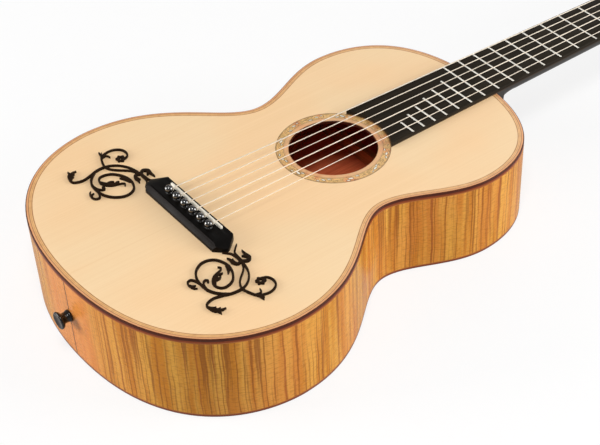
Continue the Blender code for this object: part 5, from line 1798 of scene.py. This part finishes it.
@dataclass
class Scroll:
    """One scroll ornament: strokes of changing width joined into one flat piece, and a small flower.

    Each stroke has its widths at its start, middle and end, then the points that it runs through, in
    millimetres from the tip of the bridge, outwards and towards the neck.
    """

    side: Side
    thick: float = 1.5 * MM
    soft: float = 0.2 * MM
    treble_set_off: Pair = (1.5, 1.8)
    flower: Pair = (43.4, -2.2)
    petals: int = 6
    petal_reach: float = 4.6 * MM
    petal_dip: float = 3.5 * MM
    flower_eye: float = 1.4 * MM
    fuller: float = 1.14
    strokes: tuple[tuple[tuple[float, float, float], tuple[Pair, ...]], ...] = (
        ((1.7, 1.7, 1.0), ((16, -41.5), (9.5, -39.9), (4, -36.8), (0, -32.5), (-2.6, -27), (-2.4, -21.3),
                           (0.3, -16.5), (5, -13.5), (12, -11.8), (19, -12.8), (25, -15.7), (29.7, -19.6),
                           (32, -24.7), (32, -29.7), (29, -32.8), (24, -33.7), (19.5, -31.5), (16, -27.3),
                           (14.6, -23), (13.2, -19.2), (11.3, -18), (9.4, -19.3))),
        ((1.9, 1.8, 1.0), ((41, -29.8), (37.5, -34), (33, -38), (27, -40.8), (21, -41.4), (16, -41.5),
                           (11.5, -42.7), (8.5, -45), (9.5, -48.3), (13, -49.5), (16, -48.8))),
        ((1.9, 1.6, 1.0), ((42, -19.1), (42, -24.5), (41, -29.8), (39, -35.5), (37.2, -43.3), (39.2, -50.3),
                           (43.1, -52), (49.2, -50.2), (51.3, -47), (52, -41.7))),
        ((1.3, 1.3, 1.6), ((13.6, -0.3), (23.3, -4.5), (31.8, -13.5), (36.8, -17.4), (42.4, -19.3))),
        ((1.7, 1.4, 1.5), ((13.0, -0.2), (23.5, -1.9), (30.5, -4.5), (36.5, -9), (40.5, -14.5),
                           (42.2, -19.9))),
        ((0.8, 1.2, 1.9), ((-4.1, 8.4), (0.4, 3.5), (4.2, 0.9), (14.6, -0.1))),
        ((0.8, 1.2, 1.9), ((-2.8, -6.6), (0.6, -3.5), (4.2, -1.3), (14.8, -0.5))),
        ((1.9, 3.4, 0.7), ((13.9, -0.9), (17.6, 3.6), (14.9, 6.9), (9.8, 6.9), (4.5, 7.4))),
        ((2.6, 2.8, 1.0), ((14.8, 6.8), (12.0, 5.6), (10.4, 3.4))),
        ((1.9, 3.0, 0.7), ((14.1, 0.4), (15.9, -4.4), (12, -6.6), (8, -6.7), (5.2, -7.6))),
        ((2.6, 1.8, 0.6), ((13.0, -6.2), (10.6, -5.6), (8.6, -4.4))),
        ((1.4, 1.5, 1.5), ((26, -41.0), (20.5, -40.2), (17.2, -38.4), (15.9, -36), (17.2, -34.6),
                           (19, -35.4))),
        ((1.6, 1.6, 1.1), ((41.4, -19.4), (47.3, -17.9), (53, -15.7), (56.6, -13.7), (62, -12.7))),
        ((1.3, 1.2, 0.8), ((53.7, -15.6), (54.8, -11.3), (53.6, -9.1), (50.8, -8.4))),
        ((1.3, 1.5, 1.4), ((56.3, -14.2), (58.4, -7.1), (58.3, -1.5), (55.6, 3.4), (51.6, 5.8), (46.6, 5.9),
                           (42.9, 3.9), (41.6, 0.5))),
        ((2.0, 2.6, 0.7), ((11.5, -12.8), (16.4, -14.2), (20.6, -17.4))),
        ((1.9, 3.0, 1.3), ((43.1, -51.6), (49.4, -49.6), (52.2, -43.6))),
        ((2.2, 1.8, 0.5), ((45.2, -50.6), (46.4, -48.8), (46.4, -46.8))),
        ((2.4, 1.8, 0.5), ((48.4, -49.0), (49.6, -46.8), (49.2, -44.6))),
        ((2.2, 1.6, 0.5), ((50.8, -48.4), (53.2, -47.8), (55.2, -47.8))),
        ((1.4, 2.9, 1.6), ((26.5, -33.4), (19.8, -29.8), (15.8, -23.4))),
        ((2.8, 2.0, 0.5), ((20.6, -28.8), (20.8, -26.2), (19.9, -23.6))),
        ((2.4, 1.7, 0.5), ((15.8, -24.2), (17.4, -22.4), (17.2, -20.2))),
        ((1.8, 1.3, 0.5), ((15.6, -49.0), (18.4, -48.0), (20.0, -46.2))),
        ((1.8, 1.4, 0.6), ((13.2, -49.4), (15.8, -47.4), (16.4, -45.4))),
        ((1.8, 1.3, 0.6), ((55.6, -14.2), (58.4, -12.8), (60.4, -11.0))))

    def place(self, x: float, y: float) -> Pair:
        """A point given from the bridge's tip in millimetres, in the top's frame."""
        out, up = self.treble_set_off if self.side is Side.TREBLE else (0, 0)
        return self.side.value * (BRIDGE_TIP_X + (x + out) * MM), BRIDGE_TIP_Y + (y + up) * MM

    def ribbon(self, widths: Sequence[float], points: Sequence[Pair]) -> Outline:
        """The outline of one stroke, with round ends.

        Args:
            widths: its widths at its start, middle and end, in millimetres.
            points: what it runs through, in millimetres from the bridge's tip.

        Returns:
            The outline.
        """
        line = smooth_line([self.place(x, y) for x, y in points], 4)
        left, right = [], []
        for i, point in enumerate(line):
            along = (line[min(i + 1, len(line) - 1)] - line[max(i - 1, 0)]).normalized()
            share = 2 * i / (len(line) - 1)
            first = min(int(share), 1)
            wide = widths[first] + (widths[first + 1] - widths[first]) * (share - first)
            across = Vector((-along.y, along.x)) * (wide / 2 * MM * self.fuller)
            left.append(point + across)
            right.append(point - across)
        start = (line[0] - line[1]).normalized() * widths[0] * 0.3 * MM
        end = (line[-1] - line[-2]).normalized() * widths[2] * 0.45 * MM
        nose = [line[-1] + end + (left[-1] - line[-1]) * 0.5, line[-1] + end + (right[-1] - line[-1]) * 0.5]
        tail = [line[0] + start + (right[0] - line[0]) * 0.5, line[0] + start + (left[0] - line[0]) * 0.5]
        return Outline(tuple(right + nose[::-1] + left[::-1] + tail[::-1]))

    def petal_ring(self) -> list[Outline]:
        """The flower's outline, lobed by its petals, and its eye."""
        x, y = self.place(*self.flower)
        middle = (self.petal_reach + self.petal_dip) / 2
        spread = (self.petal_reach - self.petal_dip) / 2
        points = []
        for i in range(8 * self.petals):
            angle = math.tau * i / (8 * self.petals)
            reach = middle + spread * math.cos(self.petals * angle)
            points.append(Vector((x + reach * math.cos(angle), y + reach * math.sin(angle))))
        return [Outline(tuple(points)), circle(self.flower_eye, x, y, 16, hole=True)]

    def build(self) -> None:
        """Joins the strokes and the flower, and softens the upper edges."""
        levels = [(0, 0.02 * MM), (0, GAP + self.thick)]
        pieces = [stacked([self.ribbon(widths, points).rim(levels)]) for widths, points in self.strokes]
        pieces.append(stacked([outline.rim(levels) for outline in self.petal_ring()]))
        bm = carved(pieces[0], [(Joining.ADD, piece) for piece in pieces[1:]])
        bmesh.ops.dissolve_limit(bm, angle_limit=math.radians(0.5), verts=bm.verts, edges=bm.edges)
        bm = carved(bm, [], self.soft)
        name = self.side.name.lower()
        set_out(f"{name}_scroll", bm, TOP, [SCROLL_BLACK], GUITAR, [f"bridge_scroll_{name}"])


@dataclass
class BridgePins:
    """Six turned pins with ball heads, each with a groove for its string."""

    bridge: Bridge
    ball: float = 3.6 * MM
    ball_mid: float = 3.9 * MM
    neck: float = 1.8 * MM
    collar: float = 3.0 * MM
    collar_tall: float = 0.6 * MM
    tip: float = 1.9 * MM
    long: float = 16.0 * MM
    groove: Pair = (0.95 * MM, 1.5 * MM)

    def build(self) -> None:
        """Builds the six pins."""
        for number in range(1, 7):
            self.pin(number)

    def pin(self, number: int) -> None:
        """One pin.

        Args:
            number: the number of its string.
        """
        head = [(self.ball * math.cos(math.radians(a)), self.ball_mid + self.ball * math.sin(math.radians(a)))
                for a in range(80, -41, -10)]
        top = self.collar_tall + 0.05 * MM
        profile = [(0, self.ball_mid + self.ball), *head, (self.neck, top + 0.55 * MM),
                   (self.neck + 0.15 * MM, top + 0.25 * MM), (self.collar - 0.3 * MM, top),
                   (self.collar, top - 0.2 * MM), (self.collar, 0.2 * MM),
                   (self.collar - 0.15 * MM, 0.03 * MM), (PIN_RADIUS, 0.01 * MM), (PIN_RADIUS, -0.3 * MM),
                   (self.tip, -self.long),
                   (0.5 * self.tip, -self.long - 0.5 * MM), (0, -self.long - 0.6 * MM)]
        half, floor = self.groove
        groove = blocks([((-half, floor, -40 * MM), (half, 8 * MM, self.collar_tall + 0.35 * MM))])
        bm = carved(lathed(profile, 32), [(Joining.CUT, groove)])
        place = TOP @ Matrix.Translation((string_x(number, STRINGS_HALF_SADDLE), PIN_Y, self.bridge.high))
        name = f"bridge_pin_{number}"
        set_out(f"turned_{name}", bm, place, [PIN_BLACK], name, [name], 50)


@dataclass
class EndPin:
    """The spool-shaped pin in the tail, with a dished face."""

    shape: BodyShape
    head: float = 7.8 * MM
    neck: float = 4.7 * MM
    collar: float = 5.4 * MM
    out: float = 11.2 * MM
    inside: float = 20.0 * MM

    def build(self) -> None:
        """Builds the pin."""
        o, h, c = self.out, self.head, self.collar
        profile = [(0, o - 1.0 * MM), (0.3 * h, o - 0.96 * MM), (0.62 * h, o - 0.6 * MM),
                   (0.8 * h, o - 0.1 * MM), (0.9 * h, o), (0.98 * h, o - 0.4 * MM), (h, o - 1.1 * MM),
                   (0.99 * h, o - 1.8 * MM), (0.9 * h, o - 2.9 * MM), (0.68 * h, o - 3.9 * MM),
                   (self.neck, o - 4.8 * MM), (0.96 * self.neck, 0.45 * o), (self.neck, 3.4 * MM),
                   (0.92 * c, 2.3 * MM), (0.98 * c, 1.9 * MM), (c, 1.5 * MM), (c, 0.2 * MM),
                   (0.97 * c, 0.03 * MM), (END_PIN_SHANK, 0.01 * MM), (END_PIN_SHANK, -0.3 * MM),
                   (0.85 * END_PIN_SHANK, -self.inside), (0, -self.inside)]
        place = Matrix.Translation((0, self.shape.tail_y, END_PIN_Z)) @ LYING
        set_out("turned_end_pin", lathed(profile, 48), place, [TURNED_BLACK], "end_pin",
                ["end_pin"], 50)


@dataclass
class Pegs:
    """Six friction pegs with oval, dished thumb pieces behind the headstock."""

    neck: Neck
    radius: float = 3.6 * MM
    post: float = 3.3 * MM
    post_tall: float = 12.0 * MM
    collar: float = 5.3 * MM
    stem: float = 2.6 * MM
    stem_long: float = 7.0 * MM
    thumb: tuple[float, float, float] = (10.0 * MM, 3.2 * MM, 7.5 * MM)
    dish: float = 1.0 * MM
    turns: tuple[int, ...] = (20, -35, 60, -15, 40, -55)

    def spot(self, number: int) -> tuple[float, float, int]:
        """Where the peg of a string stands in the headstock's frame, and the sign of its side."""
        side = 1 if number <= 3 else -1
        row = number - 1 if number <= 3 else 6 - number
        return side * self.neck.peg_x, self.neck.peg_rows[row], side

    def build(self) -> None:
        """Builds the six pegs."""
        for number in range(1, 7):
            self.peg(number)

    def peg(self, number: int) -> None:
        """One peg.

        Args:
            number: the number of its string.
        """
        tall, p, c = self.post_tall, self.post, self.collar
        base = -self.neck.head_thick - 0.05 * MM
        stem = -self.neck.head_thick - GAP - 2.4 * MM
        profile = [(0, tall), (0.55 * p, tall - 0.03 * MM), (0.8 * p, tall - 0.2 * MM),
                   (0.95 * p, tall - 0.6 * MM), (p, tall - 1.2 * MM), (p, 0.6 * MM), (self.radius, 0.1 * MM),
                   (self.radius, base + 0.1 * MM), (c - 0.2 * MM, base), (c, base - 0.2 * MM),
                   (c, base - 1.1 * MM), (c - 0.3 * MM, base - 1.4 * MM),
                   (self.stem + 0.7 * MM, base - 2.0 * MM), (self.stem, stem - 0.3 * MM),
                   (self.stem, stem - self.stem_long), (0, stem - self.stem_long)]
        x, y, _ = self.spot(number)
        turned = Matrix.Rotation(math.radians(self.turns[number - 1]), 4, "Z")
        place = HEAD @ Matrix.Translation((x, y, 0)) @ turned
        wide, thick, high = self.thumb
        thumb = bmesh.new()
        bmesh.ops.create_uvsphere(thumb, u_segments=40, v_segments=24, radius=1)
        for vert in thumb.verts:
            reach = math.hypot(vert.co.x, vert.co.z)
            hollow = self.dish * max(1 - (reach / 0.72) ** 2, 0) * (1 if vert.co.y > 0 else -1)
            vert.co = Vector((vert.co.x * wide, vert.co.y * thick - hollow, vert.co.z * high))
        thumb.transform(Matrix.Translation((0, 0, stem - self.stem_long / 2 - high)))
        bm = carved(lathed(profile, 32), [(Joining.ADD, thumb)])
        name = f"peg_{number}"
        set_out(f"turned_{name}", bm, place, [TURNED_BLACK], name, [name], 50)


@dataclass
class Strings:
    """Six strings from their pins over saddle and nut to their pegs, and the turns that ride on the pegs."""

    bridge: Bridge
    neck: Neck
    pegs: Pegs
    turns: int = 3
    points_a_turn: int = 24
    spacing: float = 0.6 * MM
    first_turn: float = 2.4 * MM
    end_z: float = -9.0 * MM
    wound_from: int = 4

    def build(self) -> None:
        """Builds the strings and their turns."""
        for number in range(1, 7):
            self.string(number)

    def string(self, number: int) -> None:
        """One string and its turns, by the same route as their solids.

        Args:
            number: 1 on the treble side to 6.
        """
        wide = STRING_WIDE[number - 1]
        finish = WOUND_STRING if number >= self.wound_from else PLAIN_STRING
        radius = self.pegs.post + 0.4 * MM + wide / 2
        to_head = HEAD.inverted() @ TOP
        nut_z = self.neck.string_at_nut
        over_nut = Vector((string_x(number, STRINGS_HALF_NUT), SCALE + NUT_THICK, nut_z))
        start = to_head @ over_nut
        x, y, side = self.pegs.spot(number)
        away = Vector((start.x - x, start.y - y))
        open_angle = math.acos(radius / away.length)
        turn = math.atan2(away.y, away.x) + (open_angle if side < 0 else -open_angle)
        meet = Vector((x + radius * math.cos(turn), y + radius * math.sin(turn), self.first_turn))
        back = Vector((start.x - meet.x, start.y - meet.y, 0)).normalized()
        lead = 2 * math.sqrt(radius * wide / 2)
        ends = [to_head.inverted() @ (meet + back * step) for step in (12 * MM, lead + GAP)]
        sx, high = string_x(number, STRINGS_HALF_SADDLE), self.bridge.high
        hole_y, bend_z = PIN_Y + self.bridge.hole_front, self.bridge.saddle_top + wide / 2
        route = [(sx, hole_y, self.end_z), (sx, hole_y, high - 1.2 * MM),
                 (sx, hole_y + 0.25 * MM, high + 0.1 * MM),
                 (sx, -self.bridge.saddle_thick / 2, bend_z + 0.05 * MM), (sx, -0.3 * MM, bend_z + GAP),
                 (sx, 0, bend_z + GAP), (over_nut.x, SCALE, nut_z), over_nut, *ends]
        bm = ROUND_SWEEP.grow(line_mesh(route), {"Wide": wide, "Sides": 14}, finish)
        set_out(f"strand_{number}", bm, TOP, [finish], GUITAR, [f"string_{number}"])

        coil = [meet + back * lead, meet + back * (lead / 2)]
        for i in range(self.turns * self.points_a_turn + 1):
            angle = turn + (1 if side < 0 else -1) * math.tau * i / self.points_a_turn
            coil.append(Vector((x + radius * math.cos(angle), y + radius * math.sin(angle),
                                self.first_turn + (wide + self.spacing) * i / self.points_a_turn)))
        bm = ROUND_SWEEP.grow(line_mesh(coil), {"Wide": wide, "Sides": 12}, finish)
        set_out(f"strand_turns_{number}", bm, HEAD, [finish], f"peg_{number}",
                [f"string_winding_{number}"])


@dataclass
class Studio:
    """Camera, lamps, world and floor. The shift is there because the photograph was cut from a wider one."""

    camera_at: tuple[float, float, float] = (0.82272, -0.47868, 0.88411)
    looks_at: tuple[float, float, float] = (0.13506, 0.08735, 0.0851)
    roll: float = math.radians(-0.219)
    lens: float = 89.204
    shift: Pair = (-0.1365, 0.0479)
    sky: float = 0.3

    def build(self) -> None:
        """Sets up the whole studio."""
        self.camera()
        self.world()
        self.floor()
        self.lamp("key lamp", (0.85, -0.55, 2.2), 0.6, 24.5)
        self.lamp("rear lamp", (-1.0, 1.6, 1.25), 1.0, 3.4)
        self.lamp("neck lamp", (1.35, 1.5, 0.45), 1.2, 38.0)
        self.lamp("tail lamp", (-1.25, -1.6, 0.42), 1.2, 44.0)
        bpy.context.scene.view_settings.view_transform = "Standard"

    def camera(self) -> None:
        """The camera at the photograph's place, rolled a little."""
        place, target = Vector(self.camera_at), Vector(self.looks_at)
        forward = (target - place).normalized()
        level = forward.cross(Vector((0, 0, 1))).normalized()
        upright = level.cross(forward)
        right = level * math.cos(self.roll) + upright * math.sin(self.roll)
        up = right.cross(forward)
        data = bpy.data.cameras.new("camera")
        data.lens = self.lens
        data.shift_x, data.shift_y = self.shift
        data.sensor_width = 36.0
        data.clip_start = 0.01
        obj = bpy.data.objects.new("camera", data)
        turn = Matrix((right, up, -forward)).transposed().to_4x4()
        obj.matrix_world = Matrix.Translation(place) @ turn
        bpy.context.scene.collection.objects.link(obj)
        bpy.context.scene.camera = obj

    def lamp(self, name: str, place: tuple[float, float, float], size: float, power: float) -> None:
        """A soft square lamp that shines at the guitar.

        Args:
            name: its name.
            place: where it stands.
            size: its side.
            power: its power in watts.
        """
        data = bpy.data.lights.new(name, "AREA")
        data.shape = "SQUARE"
        data.size = size
        data.energy = power
        obj = bpy.data.objects.new(name, data)
        obj.location = place
        obj.rotation_euler = (Vector((0.0, 0.1, 0.05)) - Vector(place)).to_track_quat("-Z", "Y").to_euler()
        bpy.context.scene.collection.objects.link(obj)

    def world(self) -> None:
        """A white surround for the camera and for rays through clear surfaces, and a plain level light."""
        world = bpy.data.worlds.new("studio")
        world.use_nodes = True
        bpy.context.scene.world = world
        graph = Graph(world.node_tree)
        path = graph.node("ShaderNodeLightPath").outputs
        bright = graph.math("MAXIMUM", path["Is Camera Ray"], path["Is Transmission Ray"])
        strength = graph.math("MULTIPLY_ADD", bright, 1.0 - self.sky, self.sky)
        background = world.node_tree.nodes["Background"]
        graph.feed(background, "Color", WHITE)
        graph.feed(background, "Strength", strength)

    def floor(self) -> None:
        """The floor under the guitar."""
        bm = bmesh.new()
        bmesh.ops.create_grid(bm, x_segments=1, y_segments=1, size=9.0)
        bm.transform(Matrix.Translation((0, 0, -0.2 * MM)))
        mesh = mesh_of("floor", bm)
        mesh.materials.append(FLOOR.material())
        temporary("floor", mesh)


def main() -> None:
    """Builds the guitar's looks and the studio."""
    logging.basicConfig(level=logging.INFO, format="%(message)s")
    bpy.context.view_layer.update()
    shape = BodyShape()
    neck, bridge = Neck(shape), Bridge()
    pegs = Pegs(neck)
    for part in (Soundbox(shape), Rosette(), neck, bridge, Scroll(Side.BASS), Scroll(Side.TREBLE),
                 BridgePins(bridge), EndPin(shape), pegs, Strings(bridge, neck, pegs), Studio()):
        log.info("building %s", type(part).__name__)
        part.build()


if __name__ == "__main__":
    main()
